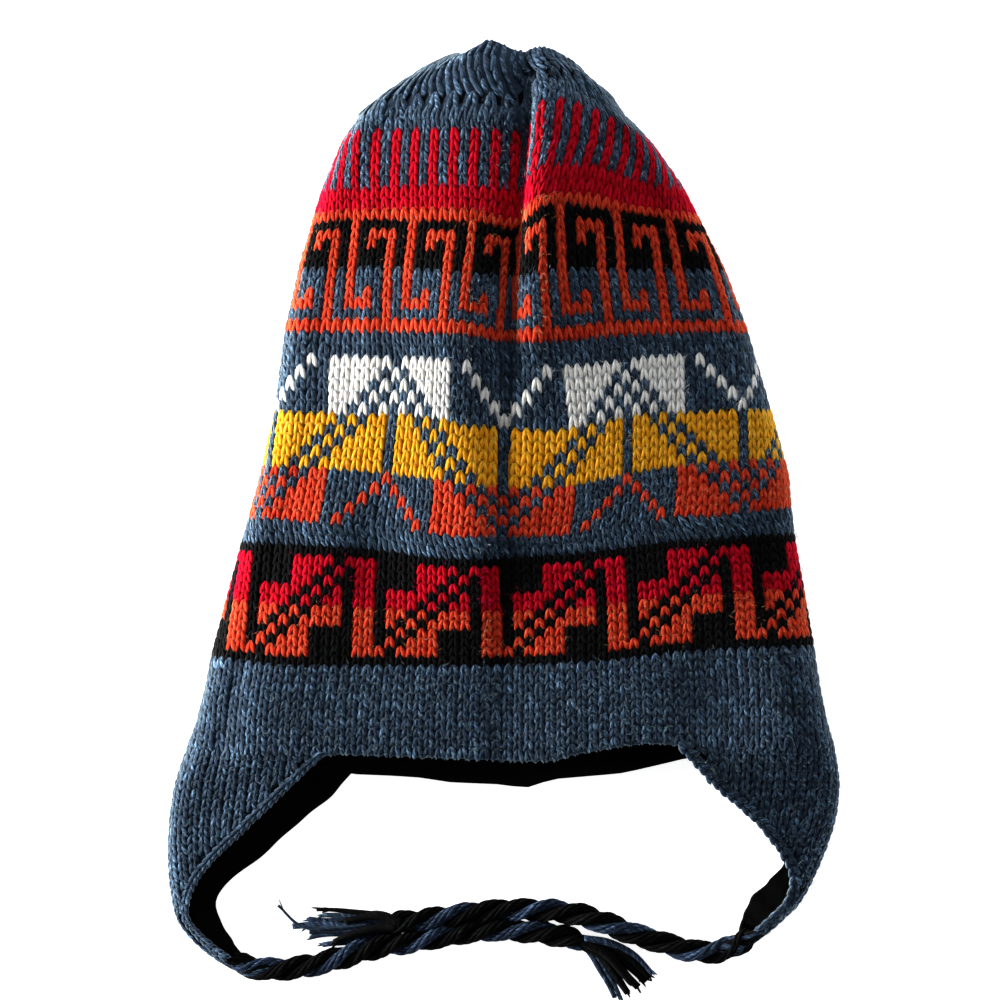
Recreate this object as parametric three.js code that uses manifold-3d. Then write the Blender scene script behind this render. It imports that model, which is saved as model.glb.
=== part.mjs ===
// A knitted chullo hat with ear flaps, a black lining and two braided ties, as it lies flat on its
// back on a surface. Millimetres, +Z up. The crown points to +Y and the ear flaps to -Y; the
// front of the hat faces up. The origin is the middle of the hat's outline, on the surface.
//
// The knitted shell and the lining share one sheet: loops round the crown, from the gathered top to
// the rim, and C-shaped strips down each folded ear flap. Each piece is a wall between two offsets
// of that sheet, so the pieces nest with an even gap.

import * as THREE from 'three';
import { mergeVertices } from 'three/addons/utils/BufferGeometryUtils.js';
import Module from 'manifold-3d';

// Wall thicknesses and the clearance between neighbouring pieces
const KNIT_THICKNESS = 2.8;
const LINING_THICKNESS = 1.6;
const GAP = 0.3;
const LINING_GAP = 0.5;

// Facets
const COLUMNS = 56;
const FOLD_CROWDING = 0.02;
const OUTLINE_SAMPLES = 240;

// The crown's stations from the gathered top to the rim. left_x, left_y and right_x, right_y are the
// two side folds; front_y and back_y are the middle of the upper and of the lower panel; puff is
// the height of the upper panel in the middle, side the thickness at the folds, and lip the height of
// the pleat's overlap beside the middle crease.
const CROWN = [
  { left_x: -20.5, left_y: 186.5, right_x: 33, right_y: 182, front_y: 190.5, back_y: 189, puff: 21, side: 17,
    crease_x: 9.5, crease: 2, lip: 1 },
  { left_x: -44, left_y: 175.5, right_x: 46, right_y: 171.5, front_y: 181, back_y: 180, puff: 28, side: 20,
    crease_x: 10, crease: 3.5, lip: 2.5 },
  { left_x: -57.5, left_y: 165.5, right_x: 55, right_y: 160, front_y: 171, back_y: 170, puff: 32, side: 22,
    crease_x: 10, crease: 5, lip: 3.5 },
  { left_x: -67, left_y: 152, right_x: 62.5, right_y: 149, front_y: 158, back_y: 157, puff: 35, side: 24,
    crease_x: 9.5, crease: 5.5, lip: 4 },
  { left_x: -75.5, left_y: 132, right_x: 75.5, right_y: 132, front_y: 135, back_y: 135, puff: 37, side: 25,
    crease_x: 9.5, crease: 5.5, lip: 4 },
  { left_x: -85.5, left_y: 98, right_x: 93, right_y: 97, front_y: 96.5, back_y: 96.5, puff: 39, side: 26,
    crease_x: 9, crease: 4.5, lip: 2 },
  { left_x: -91.5, left_y: 70, right_x: 103, right_y: 70, front_y: 67, back_y: 67, puff: 39, side: 26,
    crease_x: 5, crease: 3.5, lip: 0.5 },
  { left_x: -95.5, left_y: 39, right_x: 112, right_y: 39, front_y: 35, back_y: 35, puff: 38, side: 26,
    crease_x: 1, crease: 2.5, lip: 0 },
  { left_x: -102, left_y: 10, right_x: 119.5, right_y: 12, front_y: 4, back_y: 4, puff: 37, side: 25,
    crease_x: 0, crease: 2, lip: 0 },
  { left_x: -109, left_y: -15, right_x: 121.5, right_y: -11.5, front_y: -21.5, back_y: -21, puff: 36, side: 24,
    crease_x: 0, crease: 2, lip: 0 },
  { left_x: -121, left_y: -60, right_x: 129.5, right_y: -58, front_y: -65.5, back_y: -65, puff: 34, side: 23,
    crease_x: 0, crease: 2, lip: 0 },
  { left_x: -131.5, left_y: -101, right_x: 138, right_y: -100.5, front_y: -106, back_y: -117, puff: 33, side: 21,
    crease_x: 0, crease: 1.5, lip: 0 },
];
const LINING_TOP = { row: 1, towards_next: 0.2 };
const CREASE_WIDTH = 8;
const LIP_OFFSET = 9;

// The gathered top: ridges that run out over the first stations, the scalloped top edge, and the
// puckered cap that closes it
const GATHER = { ridges: 14, height: 1.2, stations: 3 };
const SCALLOP = { height: 2.4, pitch: 22.5, peak_x: -5, stations: 1.5 };
const CAP = [
  { scale: 0.55, y: 187 },
  { scale: 0.2, y: 184.5 },
];
const CAP_CENTRE = { x: 7, y: 183.5, z: 9 };

// Where the flaps leave the rim: the ends of the bare front and back edge, in the rim's plan
const RIM_CORNERS = {
  left: { front_x: -74.5, back_x: -62 },
  right: { front_x: 72.5, back_x: 78 },
};

// Stations down each folded ear flap: the fold (the hat's outline), the free edge of the front half,
// the free edge of the back half that lies under it, the height of the front edge, and the thickness
// at the fold
const FLAP_LEFT = [
  { fold: [-137.2, -117.5], front: [-91.7, -119.5], back: [-74.2, -124.6], edge_z: 24, side: 19 },
  { fold: [-139.6, -134.2], front: [-108.3, -135.4], back: [-88.8, -136.7], edge_z: 20, side: 17 },
  { fold: [-140, -148.8], front: [-122.5, -149.2], back: [-103.3, -149.2], edge_z: 16.5, side: 15 },
  { fold: [-138.8, -163.3], front: [-131, -162.1], back: [-117.1, -161.3], edge_z: 13.5, side: 13 },
  { fold: [-136.2, -174.2], front: [-132.4, -171.8], back: [-119.6, -170.6], edge_z: 12, side: 12 },
  { fold: [-127.9, -184.6], front: [-124.9, -181.8], back: [-115.4, -179.4], edge_z: 11, side: 11.5 },
  { fold: [-118.4, -192], front: [-116, -189.2], back: [-110.8, -185.4], edge_z: 10.5, side: 11 },
];
const FLAP_RIGHT = [
  { fold: [140.5, -117.5], front: [90, -117.5], back: [91.2, -119.2], edge_z: 24, side: 19 },
  { fold: [138.8, -132.1], front: [105.8, -131.7], back: [105.8, -134.4], edge_z: 20, side: 17 },
  { fold: [134.6, -145.4], front: [116.7, -145.4], back: [115.4, -148.3], edge_z: 16.5, side: 15 },
  { fold: [129.2, -157.9], front: [121.3, -156.3], back: [110.4, -157.9], edge_z: 13.5, side: 13 },
  { fold: [123.8, -167.5], front: [120.2, -164.2], back: [104.6, -164.2], edge_z: 12, side: 12 },
  { fold: [116.7, -174.6], front: [114.6, -171.2], back: [101.7, -169.6], edge_z: 11, side: 11.5 },
  { fold: [110, -180.4], front: [108, -177.2], back: [99, -174.2], edge_z: 10.5, side: 11 },
];

// The braided ties, as they lie on the surface, from the flap's tip to the tassel
const TIE_DIAMETER = 9.6;
const TIE_SIDES = 8;
const TIE_STEPS = 32;
const TIE_LEFT = [
  [-113.2, -190.6, 5], [-107.4, -193.2, 5], [-101, -194.6, 5], [-91, -194.6, 5], [-81, -193.4, 5],
  [-73, -191.6, 5], [-65, -189.4, 5], [-57, -187.2, 5], [-49, -185.6, 5], [-40, -184.6, 5],
  [-31, -183.6, 5], [-22, -182.4, 5], [-13, -181.2, 5], [-4, -180.4, 5], [6, -180.4, 5],
  [16, -181, 5], [25, -182.2, 5], [33, -184.6, 5],
];
const TIE_RIGHT = [
  [103.4, -180, 5], [98, -184.2, 5], [91.4, -186.8, 5], [84, -187.4, 5], [74, -185.8, 5],
  [65, -183, 5], [56, -180.2, 5.6], [48, -177.2, 6.6], [40, -174, 7.2], [32, -171.4, 7],
  [23, -169.8, 6], [14, -169, 5.2], [4, -168.8, 5], [-6, -169.2, 5], [-15, -170.2, 5],
  [-24, -171.6, 5], [-33, -173, 5], [-41, -174, 5], [-48, -175, 5],
];

// Each tassel is a bound head on the end of its tie, with locks that spread from it: the plan
// direction of each lock's tip from the head, its length and its thickness
const TASSEL_HEAD = { length: 9, diameter: 8.4 };
const LOCK_SIDES = 6;
const LOCK_STEPS = 4;
const TASSEL_LEFT_LOCKS = [
  { angle: -70, length: 27, thickness: 5.4 },
  { angle: -58, length: 29, thickness: 6 },
  { angle: -46, length: 27, thickness: 6 },
  { angle: -34, length: 24, thickness: 5.6 },
];
const TASSEL_RIGHT_LOCKS = [
  { angle: 163, length: 24, thickness: 5 },
  { angle: 172, length: 30, thickness: 5.6 },
  { angle: 182, length: 28, thickness: 6 },
  { angle: 192, length: 24, thickness: 5.6 },
];

const COLOURS = {
  knit: 0x4c6076,
  lining: 0x101012,
  braid: 0x1c232c,
};

const v3 = (x, y, z) => new THREE.Vector3(x, y, z);
const lerp = THREE.MathUtils.lerp;
const clamp = THREE.MathUtils.clamp;
const radians = THREE.MathUtils.degToRad;
const bell = (distance, width) => Math.exp(-((distance / width) ** 2));

// A point of the crown's section at a station, where x and z are already known and y follows the
// bowed courses. across runs from -1 at the left fold to 1 at the right fold.
function sectionPoint(st, x, z) {
  const half = (st.right_x - st.left_x) / 2;
  const across = clamp((x - (st.left_x + st.right_x) / 2) / half, -1, 1);
  const middle = lerp(st.back_y, st.front_y, clamp(z / st.side, 0, 1));
  const edge = across < 0 ? st.left_y : st.right_y;
  const scallop = SCALLOP.height * clamp(1 - CROWN.indexOf(st) / SCALLOP.stations, 0, 1);
  const wave = Math.cos((2 * Math.PI * (x - SCALLOP.peak_x)) / SCALLOP.pitch) * (1 - across ** 2);
  return v3(x, lerp(middle, edge, across ** 2) + scallop * wave, z);
}

// The closed section at a station: left fold, over the upper panel, right fold, and back along the
// flat lower panel
function section(st) {
  const radius = st.side / 2;
  const points = [];
  const centre = (st.left_x + st.right_x) / 2;
  const flat = (st.right_x - st.left_x) / 2 - radius;
  const arc = (x, from, to) => {
    for (let i = 0; i < OUTLINE_SAMPLES / 8; i++) {
      const angle = lerp(from, to, i / (OUTLINE_SAMPLES / 8));
      points.push(sectionPoint(st, x + radius * Math.cos(angle), radius * (1 + Math.sin(angle))));
    }
  };
  arc(st.left_x + radius, Math.PI, Math.PI / 2);
  for (let i = 0; i < OUTLINE_SAMPLES; i++) {
    const q = lerp(-1, 1, i / OUTLINE_SAMPLES);
    const x = centre + flat * q;
    const arch = (st.puff - st.side) * (1 - q * q) ** 1.5;
    const crease = st.crease * bell(x - st.crease_x, CREASE_WIDTH);
    const lip = st.lip * bell(x - st.crease_x - LIP_OFFSET, CREASE_WIDTH);
    points.push(sectionPoint(st, x, st.side + arch - crease + lip));
  }
  arc(st.right_x - radius, Math.PI / 2, -Math.PI / 2);
  for (let i = 0; i < OUTLINE_SAMPLES; i++) {
    points.push(sectionPoint(st, centre + flat * lerp(1, -1, i / OUTLINE_SAMPLES), 0));
  }
  arc(st.left_x + radius, -Math.PI / 2, -Math.PI);
  return points;
}

// Points at given fractions of a polyline's length; a closed line joins its last point to its first
function along(points, fractions, closed) {
  const line = closed ? [...points, points[0]] : points;
  const reach = [0];
  for (let i = 1; i < line.length; i++) {
    reach.push(reach[i - 1] + line[i].distanceTo(line[i - 1]));
  }
  const total = reach[reach.length - 1];
  return fractions.map((fraction) => {
    const target = clamp(fraction, 0, 1) * total;
    const k = clamp(reach.findIndex((value) => value >= target), 1, line.length - 1);
    const span = reach[k] - reach[k - 1];
    return line[k - 1].clone().lerp(line[k], span > 0 ? (target - reach[k - 1]) / span : 0);
  });
}

// The columns crowd a little towards the two side folds, at fractions 0 and 0.5 of the loop
function columnFractions() {
  return Array.from({ length: COLUMNS }, (_, i) => {
    const even = i / COLUMNS;
    return even - FOLD_CROWDING * Math.sin(4 * Math.PI * even);
  });
}

// The C-shaped section of a folded flap, from the front edge over the fold to the back edge
function flapSection(row) {
  const fold = v3(...row.fold, 0);
  const front = v3(...row.front, 0).sub(fold);
  const back = v3(...row.back, 0).sub(fold);
  const inward = front.clone().normalize().add(back.clone().normalize()).normalize();
  const radius = row.side / 2;
  const reach = front.length();
  const sweep = Math.acos(clamp(1 - reach / radius, 0, 1));
  const points = [];
  if (reach > radius) {
    points.push(v3(row.front[0], row.front[1], row.edge_z));
  }
  for (let i = 0; i <= OUTLINE_SAMPLES / 8; i++) {
    const angle = lerp(sweep, -Math.PI / 2, i / (OUTLINE_SAMPLES / 8));
    const point = fold.clone().addScaledVector(inward, radius * (1 - Math.cos(angle)));
    point.z = radius * (1 + Math.sin(angle));
    points.push(point);
  }
  points.push(v3(row.back[0], row.back[1], 0));
  return points;
}

// The whole sheet: vertices, the crown's faces and each flap's faces, all turned outwards
function makeSheet() {
  const sheet = { points: [], crown: [], lining: [], flaps: { left: [], right: [] }, joins: {} };
  const fractions = columnFractions();
  const addRow = (points) => {
    const start = sheet.points.length;
    sheet.points.push(...points);
    return points.map((_, i) => start + i);
  };
  const crownRows = CROWN.map((st) => addRow(along(section(st), fractions, true)));
  addBand(sheet.crown, crownRows, true);
  addCap(sheet, crownRows[0], addRow);
  addFlap(sheet, 'left', FLAP_LEFT, crownRows.at(-1), fractions, addRow);
  addFlap(sheet, 'right', FLAP_RIGHT, crownRows.at(-1), fractions, addRow);
  sheet.normals = sheetNormals(sheet);
  addLiningTop(sheet, crownRows.slice(LINING_TOP.row));
  return sheet;
}

// Faces between neighbouring rows of vertices, each row below the one before it
function addBand(faces, rows, closed) {
  for (let r = 0; r + 1 < rows.length; r++) {
    const count = closed ? rows[r].length : rows[r].length - 1;
    for (let i = 0; i < count; i++) {
      const j = (i + 1) % rows[r].length;
      faces.push([rows[r][i], rows[r + 1][i], rows[r + 1][j], rows[r][j]]);
    }
  }
}

// The puckered cap inside the top edge, closed at its centre
function addCap(sheet, topRow, addRow) {
  const centre = v3(CAP_CENTRE.x, CAP_CENTRE.y, CAP_CENTRE.z);
  const rows = [topRow];
  for (const ring of CAP) {
    const inner = topRow.map((index) => {
      const point = sheet.points[index].clone().lerp(centre, 1 - ring.scale);
      point.y = lerp(point.y, ring.y, 0.8);
      return point;
    });
    rows.unshift(addRow(inner));
  }
  addBand(sheet.crown, rows, true);
  const [apex] = addRow([centre]);
  rows[0].forEach((index, i) => sheet.crown.push([apex, index, rows[0][(i + 1) % COLUMNS]]));
}

// The lining starts a little below the gathered top, closed by a plain round of its own
function addLiningTop(sheet, rows) {
  const [above, below] = rows;
  const top = above.map((index, i) => {
    const point = sheet.points[index].clone().lerp(sheet.points[below[i]], LINING_TOP.towards_next);
    sheet.normals.push(sheet.normals[index].clone().lerp(sheet.normals[below[i]], LINING_TOP.towards_next));
    return sheet.points.push(point) - 1;
  });
  const centre = top.reduce((sum, index) => sum.add(sheet.points[index]), v3(0, 0, 0)).divideScalar(top.length);
  const apex = sheet.points.push(centre) - 1;
  sheet.normals.push(v3(0, 1, 0));
  addBand(sheet.lining, [top, ...rows.slice(1)], true);
  top.forEach((index, i) => sheet.lining.push([apex, index, top[(i + 1) % top.length]]));
}

// A flap hangs on the rim's vertices between its front corner and its back corner
function addFlap(sheet, hand, table, rim, fractions, addRow) {
  const corners = RIM_CORNERS[hand];
  const order = rim.map((_, i) => (hand === 'left' ? (i + COLUMNS / 2) % COLUMNS : i));
  const beside = (x, limit) => (hand === 'left' ? x < limit : x > limit);
  const strip = order.filter((i) => {
    const point = sheet.points[rim[i]];
    return beside(point.x, fractions[i] < 0.5 ? corners.front_x : corners.back_x);
  });
  const columns = hand === 'left' ? strip.reverse() : strip;
  const start = columns.map((i) => sheet.points[rim[i]]);
  const lengths = start.map((point, i) => (i ? point.distanceTo(start[i - 1]) : 0));
  const reach = lengths.map((_, i) => lengths.slice(0, i + 1).reduce((sum, value) => sum + value, 0));
  const shares = reach.map((value) => value / reach.at(-1));
  const rows = [columns.map((i) => rim[i])];
  for (const row of table) {
    rows.push(addRow(along(flapSection(row), shares, false)));
  }
  if (hand === 'left') {
    rows.forEach((row) => row.reverse());
  }
  addBand(sheet.flaps[hand], rows, false);
  sheet.joins[hand] = rows.slice(0, 2);
}

// The area-weighted normal of a face with four corners, or with three
function faceNormal([a, b, c, d = a]) {
  return c.clone().sub(a).cross(d.clone().sub(b));
}

function sheetNormals(sheet) {
  const normals = sheet.points.map(() => v3(0, 0, 0));
  for (const face of [...sheet.crown, ...sheet.flaps.left, ...sheet.flaps.right]) {
    const facing = faceNormal(face.map((index) => sheet.points[index]));
    face.forEach((index) => normals[index].add(facing));
  }
  return normals.map((normal) => normal.normalize());
}

// The sheet's vertices moved inwards by depth
function offset(sheet, depth) {
  return sheet.points.map((point, i) => point.clone().addScaledVector(sheet.normals[i], -depth));
}

// The outer skin of the crown carries the ridges of the gathered top, flattened where it rests
function addRidges(points) {
  const out = points.map((point) => point.clone());
  CROWN.slice(0, GATHER.stations).forEach((st, row) => {
    const centre = v3((st.left_x + st.right_x) / 2, 0, st.side / 2);
    for (let i = 0; i < COLUMNS; i++) {
      const point = out[row * COLUMNS + i];
      const away = v3(point.x - centre.x, 0, point.z - centre.z).normalize();
      const ridge = 0.5 + 0.5 * Math.cos(2 * Math.PI * GATHER.ridges * (i / COLUMNS));
      point.addScaledVector(away, GATHER.height * ridge * (1 - row / GATHER.stations));
      point.z = Math.max(point.z, 0);
    }
  });
  return out;
}

// A closed wall: the same faces on an outer and an inner skin, joined along every open edge
function wall(faces, outer, inner) {
  const index = [];
  const open = new Map();
  const shift = outer.length;
  for (const face of faces) {
    for (let k = 1; k + 1 < face.length; k++) {
      index.push(face[0], face[k], face[k + 1]);
      index.push(shift + face[0], shift + face[k + 1], shift + face[k]);
    }
    face.forEach((a, k) => {
      const b = face[(k + 1) % face.length];
      if (!open.delete(`${b},${a}`)) {
        open.set(`${a},${b}`, [a, b]);
      }
    });
  }
  for (const [a, b] of open.values()) {
    index.push(b, a, shift + a, b, shift + a, shift + b);
  }
  return toGeometry([...outer, ...inner], index);
}

// A geometry that holds only the vertices its faces use
function toGeometry(points, index) {
  const geometry = new THREE.BufferGeometry();
  const used = [...new Set(index)];
  const place = new Map(used.map((old, i) => [old, i]));
  const positions = used.flatMap((old) => points[old].toArray());
  geometry.setAttribute('position', new THREE.Float32BufferAttribute(positions, 3));
  geometry.setIndex(index.map((old) => place.get(old)));
  geometry.computeVertexNormals();
  return geometry;
}

// The flap's own copy of the sheet starts a small gap below the crown's rim
function withJoinGap(points, join) {
  const moved = points.map((point) => point.clone());
  const [rim, next] = join;
  rim.forEach((index, i) => {
    const down = points[next[i]].clone().sub(points[index]).normalize();
    moved[index].addScaledVector(down, GAP);
  });
  return moved;
}

function flapWall(sheet, hand) {
  const outer = withJoinGap(sheet.points, sheet.joins[hand]);
  const inner = withJoinGap(offset(sheet, KNIT_THICKNESS), sheet.joins[hand]);
  return wall(sheet.flaps[hand], outer, inner);
}

// A round bar along a route, with flat ends
function bar(route, diameter, sides, steps) {
  const outline = Array.from({ length: sides }, (_, i) => {
    const angle = (2 * Math.PI * i) / sides;
    return new THREE.Vector2(Math.cos(angle), Math.sin(angle)).multiplyScalar(diameter / 2);
  });
  const extrudePath = new THREE.CatmullRomCurve3(route.map((point) => v3(...point)));
  return new THREE.ExtrudeGeometry(new THREE.Shape(outline), { steps, extrudePath, bevelEnabled: false });
}

// Rings of vertices joined into a closed body, with a fan over each end
function loft(rings) {
  const sides = rings[0].length;
  const index = [];
  for (let r = 0; r + 1 < rings.length; r++) {
    for (let i = 0; i < sides; i++) {
      const a = r * sides + i;
      const b = r * sides + ((i + 1) % sides);
      index.push(a, b, b + sides, a, b + sides, a + sides);
    }
  }
  const end = (rings.length - 1) * sides;
  for (let i = 1; i + 1 < sides; i++) {
    index.push(0, i + 1, i, end, end + i, end + i + 1);
  }
  return toGeometry(rings.flat(), index);
}

// A ring across a plan direction, wide across and flatter in height, standing on the surface
function ring(centre, forward, width, height, sides) {
  const sideways = v3(-forward.y, forward.x, 0);
  return Array.from({ length: sides }, (_, i) => {
    const angle = (2 * Math.PI * (i + 0.5)) / sides;
    const point = centre.clone().addScaledVector(sideways, (width / 2) * Math.cos(angle));
    point.z += (height / 2) * (1 + Math.sin(angle));
    return point;
  });
}

function tasselParts(tie, locks) {
  const end = v3(...tie.at(-1)).setZ(0);
  const forward = end.clone().sub(v3(...tie.at(-2)).setZ(0)).normalize();
  const headAt = (distance, share) => {
    const size = TASSEL_HEAD.diameter * share;
    return ring(end.clone().addScaledVector(forward, GAP + distance), forward, size, size, TIE_SIDES);
  };
  const head = loft([headAt(0, 0.85), headAt(TASSEL_HEAD.length / 3, 1), headAt(TASSEL_HEAD.length, 0.9)]);
  const root = end.clone().addScaledVector(forward, GAP + TASSEL_HEAD.length * 0.6);
  return [head, ...locks.map((lock) => lockBody(root, forward, lock))];
}

// A lock leaves the head along the tie and turns to its own direction
function lockBody(root, forward, lock) {
  const towards = v3(Math.cos(radians(lock.angle)), Math.sin(radians(lock.angle)), 0);
  const rings = [];
  const centre = root.clone();
  for (let step = 0; step <= LOCK_STEPS; step++) {
    const share = step / LOCK_STEPS;
    const heading = forward.clone().lerp(towards, Math.min(1, 0.3 + 1.4 * share)).normalize();
    const taper = 1 - 0.45 * share ** 2;
    rings.push(ring(centre, heading, lock.thickness * taper, lock.thickness * taper, LOCK_SIDES));
    centre.addScaledVector(heading, lock.length / LOCK_STEPS);
  }
  return loft(rings);
}

function toManifold(wasm, geometry) {
  const bare = geometry.clone();
  bare.deleteAttribute('normal');
  bare.deleteAttribute('uv');
  const merged = mergeVertices(bare, 1e-4);
  return new wasm.Manifold(new wasm.Mesh({
    numProp: 3,
    vertProperties: new Float32Array(merged.attributes.position.array),
    triVerts: new Uint32Array(merged.index.array),
  }));
}

// Overlapping closed bodies joined into one
function fuse(wasm, geometries) {
  const solid = geometries.map((geometry) => toManifold(wasm, geometry)).reduce((sum, body) => sum.add(body));
  const mesh = solid.getMesh();
  const geometry = new THREE.BufferGeometry();
  geometry.setAttribute('position', new THREE.Float32BufferAttribute(mesh.vertProperties, 3));
  geometry.setIndex(Array.from(mesh.triVerts));
  geometry.computeVertexNormals();
  return geometry;
}

function piece(name, geometry, colour, roughness) {
  const mesh = new THREE.Mesh(geometry, new THREE.MeshStandardMaterial({ color: colour, roughness, metalness: 0 }));
  mesh.name = name;
  return mesh;
}

async function buildHat() {
  const wasm = await Module();
  wasm.setup();
  const hat = new THREE.Group();
  const sheet = makeSheet();
  const liningOuter = offset(sheet, KNIT_THICKNESS + LINING_GAP);
  const liningInner = offset(sheet, KNIT_THICKNESS + LINING_GAP + LINING_THICKNESS);
  const liningFaces = [...sheet.lining, ...sheet.flaps.left, ...sheet.flaps.right];
  const crown = wall(sheet.crown, addRidges(sheet.points), offset(sheet, KNIT_THICKNESS));
  hat.add(piece('crown', crown, COLOURS.knit, 0.9));
  hat.add(piece('ear_flap_left', flapWall(sheet, 'left'), COLOURS.knit, 0.9));
  hat.add(piece('ear_flap_right', flapWall(sheet, 'right'), COLOURS.knit, 0.9));
  hat.add(piece('lining', wall(liningFaces, liningOuter, liningInner), COLOURS.lining, 1));
  hat.add(piece('tie_left', bar(TIE_LEFT, TIE_DIAMETER, TIE_SIDES, TIE_STEPS), COLOURS.braid, 0.8));
  hat.add(piece('tie_right', bar(TIE_RIGHT, TIE_DIAMETER, TIE_SIDES, TIE_STEPS), COLOURS.braid, 0.8));
  const tasselLeft = fuse(wasm, tasselParts(TIE_LEFT, TASSEL_LEFT_LOCKS));
  const tasselRight = fuse(wasm, tasselParts(TIE_RIGHT, TASSEL_RIGHT_LOCKS));
  hat.add(piece('tassel_left', tasselLeft, COLOURS.braid, 0.8));
  hat.add(piece('tassel_right', tasselRight, COLOURS.braid, 0.8));
  return hat;
}

const group = await buildHat();

export default group;
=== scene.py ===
import math

import bpy
import numpy as np
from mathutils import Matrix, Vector


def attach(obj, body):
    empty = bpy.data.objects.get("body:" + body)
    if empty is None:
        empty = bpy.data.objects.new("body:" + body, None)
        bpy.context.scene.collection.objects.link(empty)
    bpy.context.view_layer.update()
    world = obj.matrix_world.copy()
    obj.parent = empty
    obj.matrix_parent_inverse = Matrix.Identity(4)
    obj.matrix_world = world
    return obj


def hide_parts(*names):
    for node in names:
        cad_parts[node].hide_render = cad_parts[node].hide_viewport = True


# A knitted chullo hat lying flat on its back: real stitches over a thin core, a black lining, two
# braided ties with tassels. Metres, in the frame of the CAD: +Y to the crown, +Z up.

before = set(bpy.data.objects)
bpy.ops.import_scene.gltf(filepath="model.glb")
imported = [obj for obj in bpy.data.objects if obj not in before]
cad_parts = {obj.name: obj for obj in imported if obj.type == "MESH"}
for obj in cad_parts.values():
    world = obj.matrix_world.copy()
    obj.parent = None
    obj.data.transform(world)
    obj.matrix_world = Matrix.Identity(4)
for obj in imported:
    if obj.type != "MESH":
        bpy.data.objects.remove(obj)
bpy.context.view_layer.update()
random = np.random.default_rng(7)

MM = 0.001
# Measured points are given in the photograph's own frame and turned into metres here
PHOTO_MID = 503.0
METRES_PER_PX = 0.4167 * MM


def at_x(px):
    return (np.asarray(px, float) - PHOTO_MID) * METRES_PER_PX


def at_y(px):
    return (PHOTO_MID - np.asarray(px, float)) * METRES_PER_PX


def px_of(x):
    return x / METRES_PER_PX + PHOTO_MID


# The hat's two outlines, from the gathered top to the rim
LEFT_EDGE = [(456, 50), (446, 54), (430, 61), (404, 78), (375, 98), (365, 106), (352, 125), (342, 138),
             (321.8, 186.2), (297.8, 267.8), (283.4, 335), (273.8, 409.4), (258.2, 479), (241.4, 539),
             (212.6, 647), (187.4, 746)]
RIGHT_EDGE = [(574, 60), (582, 66), (587, 73.6), (613.4, 95), (624, 112), (635, 123), (653, 142),
              (684.2, 186.2), (726.2, 270.2), (750.2, 335), (771.8, 409.4), (789.8, 474.2),
              (794.6, 530.6), (813.8, 642.2), (834.2, 746)]

# Height of the upper panel in the middle, thickness at the folds, and the middle pleat, by px row.
# groove is the pleat's depth, left_w and right_w how wide its two walls are, lip how far the right
# side stands over it, and level how flat the panel is between its folds
PROFILE_Y = [45, 68, 92, 124, 179, 271, 336, 358, 419, 493, 555, 660, 757]
PROFILE = {
    "puff": [21, 28, 32, 35, 37, 39, 39, 39, 38, 37, 36, 34, 33],
    "side": [17, 20, 22, 24, 25, 26, 26, 26, 26, 25, 25, 28, 26],
    "right_side": [17, 20, 22, 24, 25, 26, 26, 26, 26, 25, 26, 31, 30],
    "groove": [3, 4, 5.5, 6.4, 6.6, 6.2, 5.2, 5.4, 4.8, 4.4, 4, 2.6, 1.8],
    "left_w": [5, 5, 6, 7, 8, 9.5, 10, 11, 9, 6, 5, 7, 9],
    "right_w": [2, 1.6, 1.4, 1.3, 1.3, 1.8, 3, 8, 11, 13, 13, 11, 10],
    "lip": [1, 2.5, 3.5, 4, 4, 3.8, 3.6, 2.8, 1.2, 0.6, 0.4, 0, 0],
    "crease": [525.5, 528, 530.5, 529.5, 524.5, 516, 512.5, 511, 504, 500, 501, 503, 503],
    "level": [2, 2, 2, 2.2, 2.6, 2.2, 2, 2, 2.4, 3.6, 6, 11, 12],
}
LIP_OFFSET = 9 * MM
LIP_WIDTH = 8 * MM

# Soft swells and dips of the upper panel: px place, half widths across and down, height in mm
SWELLS = [
    (452, 350, 42, 100, 5.4),
    (396, 345, 78, 60, 2.4),
    (476, 535, 46, 86, 4.4),
    (374, 545, 36, 66, -5.4),
    (368, 300, 12, 110, 1.4),
    (505, 116, 62, 16, 3.0),
    (640, 480, 90, 160, -1.2),
    (238, 705, 54, 80, 3.0),
    (806, 700, 34, 66, 5.2),
    (708, 705, 44, 62, -3.6),
]

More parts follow.
